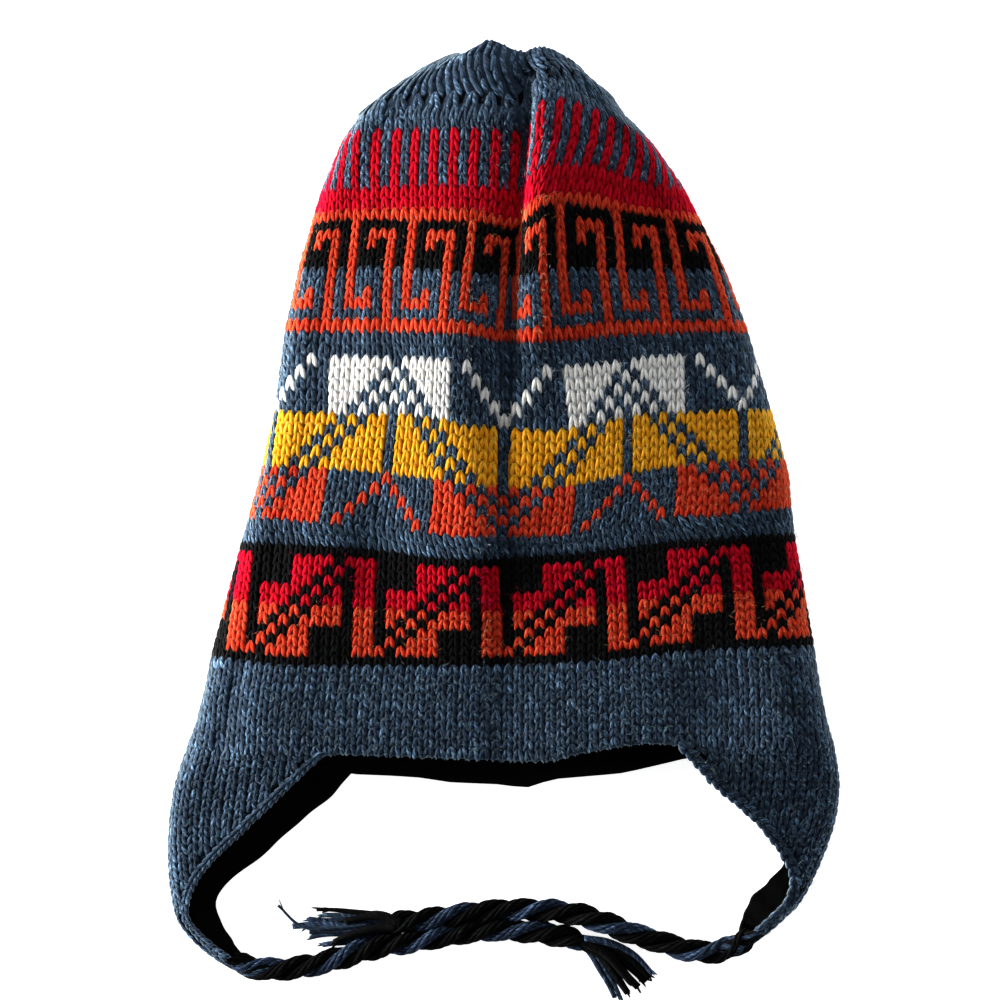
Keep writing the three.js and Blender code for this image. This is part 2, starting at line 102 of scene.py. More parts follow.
# Rows where the pattern changes. Each line runs over the front from fold to fold
LINES = {
    "top": [(456, 50), (462, 52), (471, 50), (481, 41), (491, 37.5), (500, 41), (509, 46), (517, 49),
            (525, 51), (533, 47), (541, 45), (552, 48), (566, 55), (578, 63)],
    "eyelet_top": [(379, 95), (402, 94), (445, 92), (484, 92), (522, 97), (529, 70), (560, 66),
                   (580, 72), (597, 82)],
    "eyelet_end": [(364, 107), (381, 109), (402, 107), (445, 105), (484, 105), (522, 110), (529, 81),
                   (560, 77), (585, 83), (608, 93)],
    "stripes": [(349, 131), (360, 128), (440, 128), (500, 130), (526, 134), (531, 121), (536, 105),
                (541, 101), (562, 97), (581, 102), (597, 109), (611, 116), (626, 123), (646, 134)],
    "red": [(324, 187), (340, 188), (440, 184), (500, 187), (522, 192), (530, 168), (562, 163),
            (593, 163), (607, 168), (623, 175), (640, 180), (655, 184), (682, 184)],
    "orange_row": [(313, 213), (340, 209), (440, 207), (475, 209), (490, 213), (505, 218),
                   (519, 221), (524, 206), (532, 199), (540, 195), (563, 193), (593, 193), (626, 204),
                   (660, 209), (699, 212)],
    "key": [(310, 222), (346, 218), (475, 221), (490, 224), (505, 228), (518, 229), (523, 220),
            (530, 215), (537, 210), (544, 205), (567, 203), (608, 209), (660, 216), (705, 223)],
    "key_middle": [(298, 267), (376, 266), (440, 270), (479, 274), (523, 277), (532, 272),
                   (573, 268), (626, 269), (724, 269)],
    "orange_line": [(287, 317), (386, 317), (460, 319), (479, 323), (498, 330), (512, 331),
                    (526, 326), (545, 326), (563, 326), (610, 320), (660, 319), (744, 319)],
    "blue_rows": [(284, 329.5), (400, 330), (460, 333), (479, 336), (498, 341), (520, 341),
                  (545, 340), (570, 340), (610, 334), (650, 332), (748, 330)],
    "white": [(280, 352), (316, 352.5), (333, 355), (344, 354), (391, 356), (417, 356), (447, 358),
              (470, 360), (500, 363), (520, 364.5), (566, 364.7), (589, 363.3), (606, 361), (632, 357.6),
              (650, 354.7), (679, 353.6), (697, 352.6), (756, 351)],
    "yellow": [(274, 408), (291, 410), (321, 410.5), (352, 413), (403, 412.5), (428, 415.5), (445, 418),
               (466, 424), (500, 426), (523, 427.8), (553, 429.5), (572, 426.5), (591, 423.5),
               (609, 419.5), (636, 413.5), (663, 411), (691, 410.3), (722, 409), (749, 407.5), (772, 408)],
    "orange": [(262, 463), (300, 465), (325, 466), (387, 471), (436, 477.5), (466, 482.5), (514, 485.5),
               (555, 486), (570, 484.5), (600, 478), (625, 472.7), (660, 466), (688, 463.5), (710, 460),
               (749, 457.4), (786, 457)],
    "blue_gap": [(248, 514), (270, 515.5), (315, 520), (360, 523.5), (416, 528.5), (459, 534), (510, 534),
                 (538, 534.5), (567, 532.5), (585, 528.6), (661, 516), (678, 513.5), (710, 513.5),
                 (730, 511.5), (754, 508.5), (793, 505)],
    "black": [(241, 539), (341, 544), (391, 549), (440, 556), (500, 556), (576, 551), (615, 546), (666, 539),
              (743, 534), (795, 531)],
    "brim": [(211, 654), (284, 663), (500, 663), (598, 659), (669, 650), (740, 645), (814, 643)],
    "rim": [(187, 744), (250, 750), (324, 752), (340, 750), (480, 755), (527, 757), (556, 756),
            (574, 750), (622, 742), (645, 739), (669, 740), (700, 742), (834, 744)],
}
# The back of the rim hangs lower than the front. Elsewhere the back runs straight from fold to fold
BACK_RIM = [(187, 746), (354, 775), (384, 776), (418, 778), (451, 783), (500, 785), (527, 789),
            (551, 780), (622, 774), (657, 766), (690, 758), (834, 746)]
# The knit stops short of the lining there
BACK_SHORT_PX = 6

# Which wale stands at which px of each line. Wale 0 is a little left of the pleat
WALES_TOP = (-1, 0, 1, 2, 4, 6, 8)
PLACES_TOP = (464, 477, 490, 503, 532, 551, 570)
WALES_48 = (-5, -4, -2, 0, 2, 3.5, 5, 7, 8.5)
PLACES_48 = {
    "eyelet_top": (385, 401, 435, 473, 509, 533, 553, 576, 590),
    "eyelet_end": (380, 400, 434, 472, 510, 535, 556, 580, 598),
}
WALES_96 = (-12, -8, -4, 0, 4, 6, 8, 10, 14, 18, 21)
PLACES_96 = {
    "eyelet_end": (366, 400, 438, 475, 514, 530, 542, 561, 588, 602, 607),
    "stripes": (359, 399, 435, 475, 515.5, 530, 541, 561, 597, 627, 641),
    "red": (355, 395, 433, 473, 514, 524.5, 533.5, 550, 586, 620, 643),
    "orange_row": (356, 395, 433, 473.5, 510.5, 521.5, 529.5, 543, 579, 616, 641),
    "key": (357, 395, 433.5, 473.5, 508.5, 520, 527.5, 541.5, 577.5, 615, 641),
    "key_middle": (352, 388.5, 428, 467.5, 505, 516, 526.5, 542.5, 582, 621, 648),
    "orange_line": (348, 386.5, 423.5, 463, 501, 512, 526.5, 547.5, 588, 628, 655),
    "blue_rows": (347, 386, 423, 462, 500.5, 511.5, 526.5, 548, 589.5, 629, 656),
}
WALES_120 = (-24, -18, -12, -6, 0, 6, 12, 18, 24)
PLACES_120 = {
    "blue_rows": (284, 338, 395, 446, 504, 564, 620, 675, 733),
    "white": (278, 335.7, 398, 447, 506, 567, 624.3, 678.5, 739),
    "yellow": (276, 333, 393.5, 444.5, 504, 573, 627.2, 679.5, 742),
    "orange": (268, 324, 387.5, 438, 502.5, 569.5, 626, 680, 743),
    "blue_gap": (258, 315, 380, 434, 502, 565, 623.5, 678, 744),
    "black": (259, 321, 383, 442, 505, 567, 628, 690, 752),
    "brim": (250, 314, 379, 443, 508, 570, 633, 697, 761),
    "rim": (240, 306, 373, 440, 507, 571, 635, 700, 764),
}

# The charts' letters: K black, B blue-grey, R crimson, O orange, Y mustard, W white
KEY = [
    "OKKKKK",
    "OKOOOK",
    "OKOKOK",
    "OKKKOK",
    "OKKKOK",
    "OBBBOB",
    "OBBBOB",
    "OBOBOB",
    "OOOBOB",
    "BBBBOB",
]
STEPS = [
    "KKKKRRRRKRRR",
    "KKKKRRRKRKRR",
    "KKKKRRKRKKRR",
    "KRRRRKRKRKRR",
    "KRRRKRKRRKRR",
    "KOOKOKOOOKOO",
    "KOKOKOOOOKOO",
    "KKOKOOKKKKOO",
    "KOKOOOKKKKOO",
    "OKOOOOKKKKOO",
]


def motif_colour(row, wale):
    """The mirrored band of white, mustard and orange fields, 24 wales wide and 15 courses high."""
    beyond = min(wale % 24, 24 - wale % 24)
    from_axis = 12 - beyond
    step = row % 5
    if row < 5:
        if from_axis <= 6:
            return "B" if from_axis <= step and (from_axis + step) % 2 == 0 else "W"
        return "W" if beyond == 4 - step else "B"
    if row < 10:
        return "B" if from_axis in (0, 12, row - 2, row) else "Y"
    if from_axis <= 5:
        return "O" if from_axis == step else "B"
    return "B" if beyond <= 4 - step and (beyond + 4 - step) % 2 == 0 else "O"


def plain(letter):
    return lambda row, wale: letter


ZONES = [
    # piece, from line, to line, courses, wales in the round, colour of (row, wale)
    ("top", "top", "eyelet_top", 4, 48, plain("B")),
    ("eyelets", "eyelet_top", "eyelet_end", 1, 48, plain("B")),
    ("band_stripes", "eyelet_end", "stripes", 2, 96, plain("B")),
    ("band_stripes", "stripes", "red", 5, 96, lambda row, wale: "RB"[wale % 2]),
    ("band_stripes", "red", "orange_row", 2, 96, plain("R")),
    ("band_key", "orange_row", "key", 1, 96, plain("O")),
    ("band_key", "key", "key_middle", 5, 96, lambda row, wale: KEY[row][wale % 6]),
    ("band_key", "key_middle", "orange_line", 5, 96, lambda row, wale: KEY[row + 5][wale % 6]),
    ("band_key", "orange_line", "blue_rows", 1, 96, plain("O")),
    ("band_key", "blue_rows", "white", 2, 120, plain("B")),
    ("band_motif", "white", "yellow", 5, 120, motif_colour),
    ("band_motif", "yellow", "orange", 5, 120, lambda row, wale: motif_colour(row + 5, wale)),
    ("band_motif", "orange", "blue_gap", 5, 120, lambda row, wale: motif_colour(row + 10, wale)),
    ("band_steps", "blue_gap", "black", 2, 120, plain("B")),
    ("band_steps", "black", "brim", 12, 120,
     lambda row, wale: "K" if row in (0, 11) else STEPS[row - 1][wale % 12]),
    ("brim", "brim", "rim", 10, 120, plain("B")),
]
ANCHORS = {(48, "top"): (WALES_TOP, PLACES_TOP)}
for wale_count, anchor_wales, all_places in ((48, WALES_48, PLACES_48), (96, WALES_96, PLACES_96),
                                             (120, WALES_120, PLACES_120)):
    for line_name, line_places in all_places.items():
        ANCHORS[wale_count, line_name] = (anchor_wales, line_places)

# The crown's surface
SMOOTHING_PX = 3.0
SMOOTHING_REACH = 9
PX_GRID = np.arange(140.0, 881.0)


def smooth_line(points):
    """A measured line on the px grid, with its corners eased."""
    xs, ys = np.array(points, float).T
    reach = np.arange(-SMOOTHING_REACH, SMOOTHING_REACH + 1)
    kernel = np.exp(-0.5 * (reach / SMOOTHING_PX) ** 2)
    padded = np.pad(np.interp(PX_GRID, xs, ys), SMOOTHING_REACH, mode="edge")
    return np.convolve(padded, kernel / kernel.sum(), mode="valid")


def edge_at(edge, y):
    xs, ys = np.array(edge, float).T
    return float(np.interp(y, ys, xs))


def profile_at(y):
    return {key: float(np.interp(y, PROFILE_Y, values)) for key, values in PROFILE.items()}


def bell(distance, width):
    return np.exp(-((distance / width) ** 2))


def swells_at(px, py):
    return sum(height * bell(px - x, across) * bell(py - y, down) for x, y, across, down, height in SWELLS)


FRONT_STEPS = 220
ARC_STEPS = 14
BACK_STEPS = 70
# The pleat's walls, and the softer pleat of the lining
PLEAT_SHARPNESS = 1.3
SOFT_PLEAT = 9 * MM
# How suddenly the swells fade at the folds
SWELL_FADE = 24


def span_of(name):
    """The px values where a line starts on the left fold, crosses the pleat and ends on the right fold."""
    points = LINES[name]
    mid = float(np.interp(PHOTO_MID, *np.array(points, float).T))
    return points[0][1], profile_at(mid)["crease"], points[-1][1]


def fold_arc(middle, radius, start, stop):
    """A quarter turn round a side fold."""
    angle = np.linspace(start, stop, ARC_STEPS, endpoint=False)
    return middle + radius * np.cos(angle), radius * (1 + np.sin(angle))


def panel_height(x, q, shape, smooth_pleat):
    """Height of the upper panel with its pleat, in mm. q runs from -1 at the left fold to 1."""
    away = x - at_x(shape["crease"])
    if smooth_pleat:
        pleat = bell(away, SOFT_PLEAT)
    else:
        width = np.where(away < 0, shape["left_w"], shape["right_w"]) * MM
        pleat = np.exp(-np.abs(away / width) ** PLEAT_SHARPNESS)
    lip = shape["lip"] * bell(away - LIP_OFFSET, LIP_WIDTH)
    side = (shape["side"] * (1 - q) + shape["right_side"] * (1 + q)) / 2
    bulge = (1 - np.abs(q) ** shape["level"]) ** 1.5
    return side + (shape["puff"] - side) * bulge + lip - shape["groove"] * pleat


def closed_line(upper, lower, share, smooth_pleat=False):
    """The loop round the crown at a share of the way between two measured lines."""
    spans = np.array([span_of(upper), span_of(lower)])
    left_y, crease_px, right_y = spans[0] * (1 - share) + spans[1] * share
    left_px, right_px = edge_at(LEFT_EDGE, left_y), edge_at(RIGHT_EDGE, right_y)
    left, right = at_x(left_px), at_x(right_px)

    def front_y(x):
        """px row of the front at x, matching the two lines from fold to pleat and pleat to fold"""
        rows = []
        for name, crease in zip((upper, lower), spans[:, 1]):
            ends = [LINES[name][0][0], crease, LINES[name][-1][0]]
            place = np.interp(px_of(x), [left_px, crease_px, right_px], ends)
            rows.append(np.interp(place, PX_GRID, smooth_line(LINES[name])))
        return rows[0] * (1 - share) + rows[1] * share

    shape = profile_at(float(front_y(0.0)))
    left_radius, right_radius = shape["side"] * MM / 2, shape["right_side"] * MM / 2
    first, last = left + left_radius, right - right_radius
    q = np.linspace(-1, 1, FRONT_STEPS, endpoint=False)
    top_x = (first + last) / 2 + (last - first) / 2 * q
    swell = swells_at(px_of(top_x), front_y(top_x)) * (1 - q ** SWELL_FADE)
    pieces = [
        fold_arc(first, left_radius, math.pi, math.pi / 2),
        (top_x, (panel_height(top_x, q, shape, smooth_pleat) + swell) * MM),
        fold_arc(last, right_radius, math.pi / 2, 0),
        fold_arc(last, right_radius, 0, -math.pi / 2),
        (np.linspace(last, first, BACK_STEPS, endpoint=False), np.zeros(BACK_STEPS)),
        fold_arc(first, left_radius, -math.pi / 2, -math.pi),
    ]
    x, z = (np.concatenate(parts) for parts in zip(*pieces))
    across = np.clip((x - left) / (right - left), 0, 1)
    back = left_y + (right_y - left_y) * across
    if lower == "rim":
        rim = np.interp(px_of(x), *np.array(BACK_RIM, float).T) - (0 if smooth_pleat else BACK_SHORT_PX)
        back = back * (1 - share) + rim * share
    ease = np.clip(z / (2 * left_radius + 2 * (right_radius - left_radius) * across), 0, 1)
    ease = ease * ease * (3 - 2 * ease)
    return np.stack([x, at_y(back * (1 - ease) + front_y(x) * ease), z], axis=1)


FRONT_COLUMNS = 120
BACK_COLUMNS = 44


class Loop:
    """A closed line round the crown on which any wale can be found."""

    def __init__(self, points):
        self.points = np.vstack([points, points[:1]])
        self.reach = reach_along(self.points)
        self.total = self.reach[-1]
        self.front = FRONT_STEPS + 2 * ARC_STEPS

    def set_wales(self, count, wales, at):
        self.count = count
        self.wales = np.array([*wales, wales[0] + count], float)
        self.at = np.array([*at, at[0] + self.total])

    def anchor(self, count, line):
        """Puts the wales where they were measured."""
        wales, places = ANCHORS[count, line]
        self.set_wales(count, wales, self.reach_at(at_x(places)))

    def between(self, upper, lower, share):
        """Puts the wales part of the way from their places on one loop to those on another."""
        wales = lower.wales[:-1]
        turns = upper.turns_at(wales) * (1 - share) + lower.turns_at(wales) * share
        self.set_wales(lower.count, wales, turns * self.total)

    def turns_at(self, wale):
        turns, rest = np.divmod(np.asarray(wale, float) - self.wales[0], self.count)
        return turns + np.interp(rest + self.wales[0], self.wales, self.at) / self.total

    def reach_at(self, x, back=False):
        """How far along the loop the front, or the back, crosses x."""
        if back:
            part = slice(self.front, None)
            return np.interp(-np.asarray(x), -self.points[part, 0], self.reach[part])
        part = slice(0, self.front + 1)
        return np.interp(x, self.points[part, 0], self.reach[part])

    def at_reach(self, reach):
        return along_line(self.points, self.reach, np.asarray(reach) % self.total)

    def find(self, wale):
        return self.at_reach(self.turns_at(wale) * self.total)

    def wale_at(self, reach):
        turned = (reach - self.at[0]) % self.total + self.at[0]
        return np.interp(turned, self.at, self.wales)

    def columns(self):
        """Even steps round the loop, closer on the front, which has the pleat."""
        split = self.reach[self.front]
        front = np.linspace(0, split, FRONT_COLUMNS, endpoint=False)
        back = np.linspace(split, self.total, BACK_COLUMNS, endpoint=False)
        return np.concatenate([front, back])


def reach_along(points):
    return np.concatenate([[0], np.cumsum(np.linalg.norm(np.diff(points, axis=0), axis=1))])


def along_line(points, reach, at):
    return np.stack([np.interp(at, reach, points[:, i]) for i in range(3)], axis=-1)


def zone_loops(zone, smooth_pleat=False):
    upper, lower, courses, count = zone[1:5]
    loops = [Loop(closed_line(upper, lower, course / courses, smooth_pleat))
             for course in range(courses + 1)]
    loops[0].anchor(count, upper)
    loops[-1].anchor(count, lower)
    for course in range(1, courses):
        loops[course].between(loops[0], loops[-1], course / courses)
    return loops


def unit(v):
    return v / np.maximum(np.linalg.norm(v, axis=-1, keepdims=True), 1e-12)


# Mesh assembly
class Soup:
    """Vertices, faces, material numbers and yarn coordinates collected for one piece."""

    def __init__(self):
        self.verts, self.yarn = [], []
        self.quads, self.tris = [np.zeros((0, 4), int)], [np.zeros((0, 3), int)]
        self.quad_mats, self.tri_mats = [], []
        self.size = 0

    def add(self, verts, quads, tris, quad_mats, tri_mats, yarn=None):
        """The materials are one number, or one for each face."""
        verts = verts.reshape(-1, 3)
        self.verts.append(verts)
        self.yarn.append(np.zeros_like(verts) if yarn is None else yarn.reshape(-1, 3))
        for faces, mats, all_faces, all_mats in ((quads, quad_mats, self.quads, self.quad_mats),
                                                 (tris, tri_mats, self.tris, self.tri_mats)):
            if len(faces):
                all_faces.append(np.asarray(faces) + self.size)
                all_mats.append(np.broadcast_to(mats, len(faces)))
        self.size += len(verts)

    def build(self, name, materials, slot, *nodes):
        quads, tris = np.concatenate(self.quads), np.concatenate(self.tris)
        loops = np.concatenate([quads.ravel(), tris.ravel()])
        totals = np.repeat([4, 3], [len(quads), len(tris)])
        mats = np.concatenate([*self.quad_mats, *self.tri_mats])
        mesh = bpy.data.meshes.new(name)
        mesh.vertices.add(self.size)
        mesh.vertices.foreach_set("co", np.concatenate(self.verts).astype(np.float32).ravel())
        mesh.loops.add(len(loops))
        mesh.loops.foreach_set("vertex_index", loops.astype(np.int32))
        mesh.polygons.add(len(totals))
        mesh.polygons.foreach_set("loop_start", (np.cumsum(totals) - totals).astype(np.int32))
        mesh.polygons.foreach_set("loop_total", totals.astype(np.int32))
        mesh.polygons.foreach_set("material_index", mats.astype(np.int32))
        mesh.polygons.foreach_set("use_smooth", np.ones(len(totals), bool))
        yarn = mesh.attributes.new("yarn", "FLOAT_VECTOR", "POINT")
        yarn.data.foreach_set("vector", np.concatenate(self.yarn).astype(np.float32).ravel())
        mesh.update(calc_edges=True)
        mesh.validate()
        for material in materials:
            mesh.materials.append(material)
        piece = bpy.data.objects.new(name, mesh)
        bpy.context.scene.collection.objects.link(piece)
        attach(piece, "root")
        if nodes:
            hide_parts(*nodes)
        return piece


# Materials
def srgb(*values):
    return tuple((v / 255 / 12.92 if v / 255 <= 0.04045 else ((v / 255 + 0.055) / 1.055) ** 2.4)
                 for v in values) + (1.0,)


class Nodes:
    """Short calls for a material's nodes."""

    def __init__(self, name):
        self.material = bpy.data.materials.new(name)
        self.material.use_nodes = True
        self.tree = self.material.node_tree
        self.tree.nodes.clear()
        self.out = self.node("ShaderNodeOutputMaterial")
        self.shader = self.node("ShaderNodeBsdfPrincipled")
        self.link(self.shader.outputs[0], self.out.inputs["Surface"])

    def link(self, a, b):
        self.tree.links.new(a, b)

    def node(self, kind, inputs=None, **values):
        """A new node. Its inputs are given by name or number, each a value or another node's output."""
        made = self.tree.nodes.new(kind)
        for key, value in values.items():
            setattr(made, key, value)
        self.fill(made, inputs or {})
        return made

    def fill(self, node, inputs):
        for key, value in inputs.items():
            if isinstance(value, bpy.types.NodeSocket):
                self.link(value, node.inputs[key])
            else:
                node.inputs[key].default_value = value

    def maths(self, operation, *values):
        return self.node("ShaderNodeMath", dict(enumerate(values)), operation=operation).outputs[0]

    def place(self):
        return self.node("ShaderNodeTexCoord").outputs["Object"]

    def noise(self, vector, scale, detail=2.0, rough=0.5):
        inputs = {"Scale": scale, "Detail": detail, "Roughness": rough, "Vector": vector}
        return self.node("ShaderNodeTexNoise", inputs).outputs["Fac"]

    def ramp(self, fac, stops):
        made = self.node("ShaderNodeValToRGB", {0: fac})
        elements = made.color_ramp.elements
        while len(elements) < len(stops):
            elements.new(0.5)
        for element, (place, colour) in zip(elements, stops):
            element.position = place
            element.color = colour
        return made.outputs[0]

    def finish(self, colour, height, strength, distance, values):
        """Colour, bump and the shader's own values."""
        bump = self.node("ShaderNodeBump", {"Strength": strength, "Distance": distance, "Height": height})
        self.fill(self.shader, {"Base Color": colour, "Normal": bump.outputs[0], **values})
        return self.material


PLY_PITCH = 2.6 * MM
PLIES = 2.0
# Scales of the fibres along and round the yarn, and how much each yarn's own number shifts them
FIBRES_ALONG, FIBRES_SLANT, FIBRES_ROUND, OWN_SHIFT = 260.0, 700.0, 7.0, 71.0
PATCH_SCALE = 150.0
SPECK_SCALE = 1700.0
FIBRE_CONTRAST = 1.6
# Turns each yarn's own number into its own tone
OWN_TONES = 37.7


def yarn_material(name, dark, base, pale, sheen):
    """Soft plied yarn: strands that wind along the leg, streaks of fibres, and a weak sheen."""
    n = Nodes(name)
    place = n.node("ShaderNodeAttribute", attribute_name="yarn").outputs["Vector"]
    along, around, own = n.node("ShaderNodeSeparateXYZ", {0: place}).outputs
    turn = n.maths("MULTIPLY_ADD", along, 1 / PLY_PITCH, n.maths("MULTIPLY", around, PLIES))
    strand = n.maths("MULTIPLY_ADD", n.maths("SINE", n.maths("MULTIPLY", turn, 2 * math.pi)), 0.5, 0.5)
    streaks = n.node("ShaderNodeCombineXYZ", {
        0: n.maths("MULTIPLY", along, FIBRES_ALONG),
        1: n.maths("MULTIPLY_ADD", along, FIBRES_SLANT, n.maths("MULTIPLY", around, FIBRES_ROUND)),
        2: n.maths("MULTIPLY", own, OWN_SHIFT),
    })
    fibres = n.noise(streaks.outputs[0], 1.0, 4.0, 0.62)
    patches = n.noise(n.place(), PATCH_SCALE, 2.0, 0.6)
    specks = n.noise(n.place(), SPECK_SCALE, 2.0, 0.7)
    stitch = n.maths("FRACT", n.maths("MULTIPLY", own, OWN_TONES))
    tone = n.maths("MULTIPLY_ADD", n.maths("SUBTRACT", fibres, 0.5), FIBRE_CONTRAST, 0.5)
    for part, weight in ((strand, 0.12), (patches, 0.28), (specks, 0.5), (stitch, 0.22)):
        tone = n.maths("MULTIPLY_ADD", n.maths("SUBTRACT", part, 0.5), weight, tone)
    colour = n.ramp(tone, [(0.10, dark), (0.47, base), (0.58, base), (0.95, pale)])
    relief = n.maths("MULTIPLY_ADD", strand, 0.2, fibres)
    return n.finish(colour, n.maths("MULTIPLY_ADD", specks, 0.9, relief), 0.7, 0.35 * MM, {
        "Roughness": 0.9, "Specular IOR Level": 0.12,
        "Sheen Weight": sheen, "Sheen Roughness": 0.45, "Sheen Tint": pale,
        "Subsurface Weight": 0.8, "Subsurface Radius": (1.0, 0.9, 0.8), "Subsurface Scale": 2.2 * MM,
    })


def core_material(name, colour):
    """The inside of the knit, seen in the small gaps between stitches, mottled by a grain down to half its
    colour, which darkens the gaps as painted shade.
    """
    n = Nodes(name)
    grain = n.noise(n.place(), 900.0, 3.0)
    dark = tuple(v * 0.5 for v in colour[:3]) + (1.0,)
    return n.finish(n.ramp(grain, [(0.3, dark), (0.7, colour)]), grain, 0.8, 0.4 * MM,
                    {"Roughness": 0.95, "Specular IOR Level": 0.1})


def lining_material():
    """Black brushed lining: matt, with a fine nap."""
    n = Nodes("black_lining")
    nap = n.noise(n.place(), 1400.0, 4.0, 0.7)
    tufts = n.noise(n.place(), 330.0, 3.0, 0.6)
    tone = n.maths("MULTIPLY_ADD", nap, 0.6, n.maths("MULTIPLY", tufts, 0.4))
    colour = n.ramp(tone, [(0.35, srgb(2, 2, 3)), (0.6, srgb(6, 6, 7)), (0.78, srgb(26, 27, 29))])
    return n.finish(colour, tone, 0.9, 0.8 * MM, {
        "Roughness": 0.95, "Specular IOR Level": 0.1, "Sheen Weight": 0.04, "Sheen Roughness": 0.6,
    })


# Name, dark, middle and pale colour, and sheen of each yarn
YARN_TONES = {
    "B": ("yarn_blue", (20, 26, 36), (50, 64, 80), (118, 152, 182), 0.12),
    # S is a darker copy of the blue yarn: painted shade on the blue of the ties, tassels and tie roots.
    "S": ("yarn_slate", (14, 19, 28), (42, 54, 73), (100, 126, 158), 0.1),
    "K": ("yarn_black", (2, 2, 3), (6, 6, 7), (30, 32, 34), 0.03),
    "R": ("yarn_crimson", (96, 0, 10), (176, 2, 28), (206, 22, 56), 0.03),
    "O": ("yarn_orange", (128, 28, 12), (196, 60, 36), (228, 108, 76), 0.04),
    "Y": ("yarn_mustard", (168, 100, 10), (226, 156, 30), (248, 190, 88), 0.05),
    "W": ("yarn_white", (172, 170, 166), (226, 224, 218), (246, 246, 242), 0.05),
}
# The cores are darker than their yarns: painted shade in the gaps between stitches.
CORE_PAINTED_SHADE = 0.92
LETTERS = list(YARN_TONES)
YARNS = [yarn_material(name, srgb(*dark), srgb(*base), srgb(*pale), sheen)
         for name, dark, base, pale, sheen in YARN_TONES.values()]
CORES = [core_material("core" + name[4:], srgb(*(CORE_PAINTED_SHADE * v for v in base)))
         for name, dark, base, pale, sheen in YARN_TONES.values()]
BLUE, BLACK, SHADED_BLUE = (LETTERS.index(letter) for letter in "BKS")

# Stitches
# A stitch is two legs that leave its apex and spread downwards, where the next course covers them.
# Down each leg: place across in wales, place down in courses, height in mm, share of the full radius
LEG_PATH = np.array([
    [0.000, -0.56, -0.20, 0.0],
    [0.060, -0.38, 0.30, 0.62],
    [0.155, -0.02, 0.46, 0.93],
    [0.262, 0.38, 0.36, 1.0],
    [0.335, 0.74, 0.00, 0.88],
    [0.375, 1.04, -0.50, 0.0],
])
LEG_SIDES = 5
LEG_RINGS = len(LEG_PATH) - 2
LEG_VERTS = 2 + LEG_RINGS * LEG_SIDES
LEG_RADIUS = 0.25
LEG_RADIUS_RANGE = (0.62 * MM, 1.35 * MM)
LEG_FLATNESS = 0.62
STITCH_DEPTH = 1.12 * MM
CORE_DEPTH = 1.12 * MM
CORE_THICKNESS = 0.7 * MM
# Vertices stay this far over the surface that the hat lies on
FLOOR_GAP = 0.02 * MM


def leg_faces():
    quads, tris = [], []
    last = 1 + (LEG_RINGS - 1) * LEG_SIDES
    for k in range(LEG_SIDES):
        j = (k + 1) % LEG_SIDES
        for a in range(1, last, LEG_SIDES):
            quads.append([a + k, a + j, a + LEG_SIDES + j, a + LEG_SIDES + k])
        tris += [[0, 1 + j, 1 + k], [last + k, last + j, last + LEG_SIDES]]
    return np.array(quads), np.array(tris)


LEG_QUADS, LEG_TRIS = leg_faces()


def repeated(faces, count, verts):
    """The same faces for each of many equal parts with so many vertices each."""
    return (faces[None] + (np.arange(count) * verts)[:, None, None]).reshape(-1, faces.shape[1])


def add_stitches(soup, centre, across, down, normal, mats, thick=1.0, spread=1.0, apart=0.0):
    """Two legs for each stitch, given its middle, its width and height as vectors, and outwards."""
    count = len(centre)
    width, height = (np.linalg.norm(v, axis=1)[:, None] for v in (across, down))
    jitter = random.normal(0, 1, (count, 4))[..., None]
    radius = np.clip(LEG_RADIUS * width, *LEG_RADIUS_RANGE) * thick * (1 + 0.05 * jitter[:, 0])
    turn = 0.06 * jitter[:, 1] * width
    own = random.random((count, 2))
    leg_across, leg_down, rise, share = LEG_PATH.T
    angle = (2 * math.pi * np.arange(LEG_SIDES) / LEG_SIDES - math.pi / 2)[:, None]
    for leg, hand in enumerate((-1, 1)):
        path = np.stack([
            hand * (apart + spread * leg_across) * width + turn * leg_down,
            leg_down * height * (1 + 0.03 * jitter[:, 2]),
            rise * MM * (1 + 0.1 * jitter[:, 3]),
        ], axis=-1)
        tangent = unit(np.gradient(path, axis=1))
        side = unit(np.cross(tangent, [0, 0, 1.0]))
        lift = np.cross(side, tangent)
        size = (radius * share)[:, 1:-1, None, None]
        inner = path[:, 1:-1, None] + size * (np.cos(angle) * side[:, 1:-1, None]
                                              + LEG_FLATNESS * np.sin(angle) * lift[:, 1:-1, None])
        verts = np.concatenate([path[:, :1], inner.reshape(count, -1, 3), path[:, -1:]], axis=1)
        steps = np.linalg.norm(np.diff(path, axis=1, prepend=path[:, :1]), axis=2)
        yarn = np.zeros((count, LEG_VERTS, 3))
        yarn[:, :, 0] = np.repeat(np.cumsum(steps, axis=1), [1] + [LEG_SIDES] * LEG_RINGS + [1], axis=1)
        yarn[:, [0, -1], 1] = 0.5
        yarn[:, 1:-1, 1] = np.tile(np.arange(LEG_SIDES) / LEG_SIDES, LEG_RINGS)
        yarn[:, :, 2] = own[:, leg, None]
        placed = centre[:, None] + sum(verts[..., i, None] * unit(axis)[:, None]
                                       for i, axis in enumerate((across, down, normal)))
        placed[..., 2] = np.maximum(placed[..., 2], FLOOR_GAP)
        soup.add(placed, repeated(LEG_QUADS, count, LEG_VERTS), repeated(LEG_TRIS, count, LEG_VERTS),
                 np.repeat(mats, len(LEG_QUADS)), np.repeat(mats, len(LEG_TRIS)), yarn)


FUZZ_PER_STITCH = 3
FUZZ_FACES = np.array([[0, 1, 2], [0, 2, 3], [0, 3, 1], [4, 2, 1], [4, 3, 2], [4, 1, 3]])
FUZZ_ANGLES = math.pi / 2, math.pi * 7 / 6, math.pi * 11 / 6
# In mm: height of a fibre's root over the stitch, length, rise of its tip, thickness and middle's lift
FUZZ_ROOT = 1.2, 1.6
FUZZ_LENGTH = 1.6, 3.6
FUZZ_RISE = 0.1, 0.9
FUZZ_THICKNESS = 0.05, 0.085
FUZZ_LIFT = 0.35
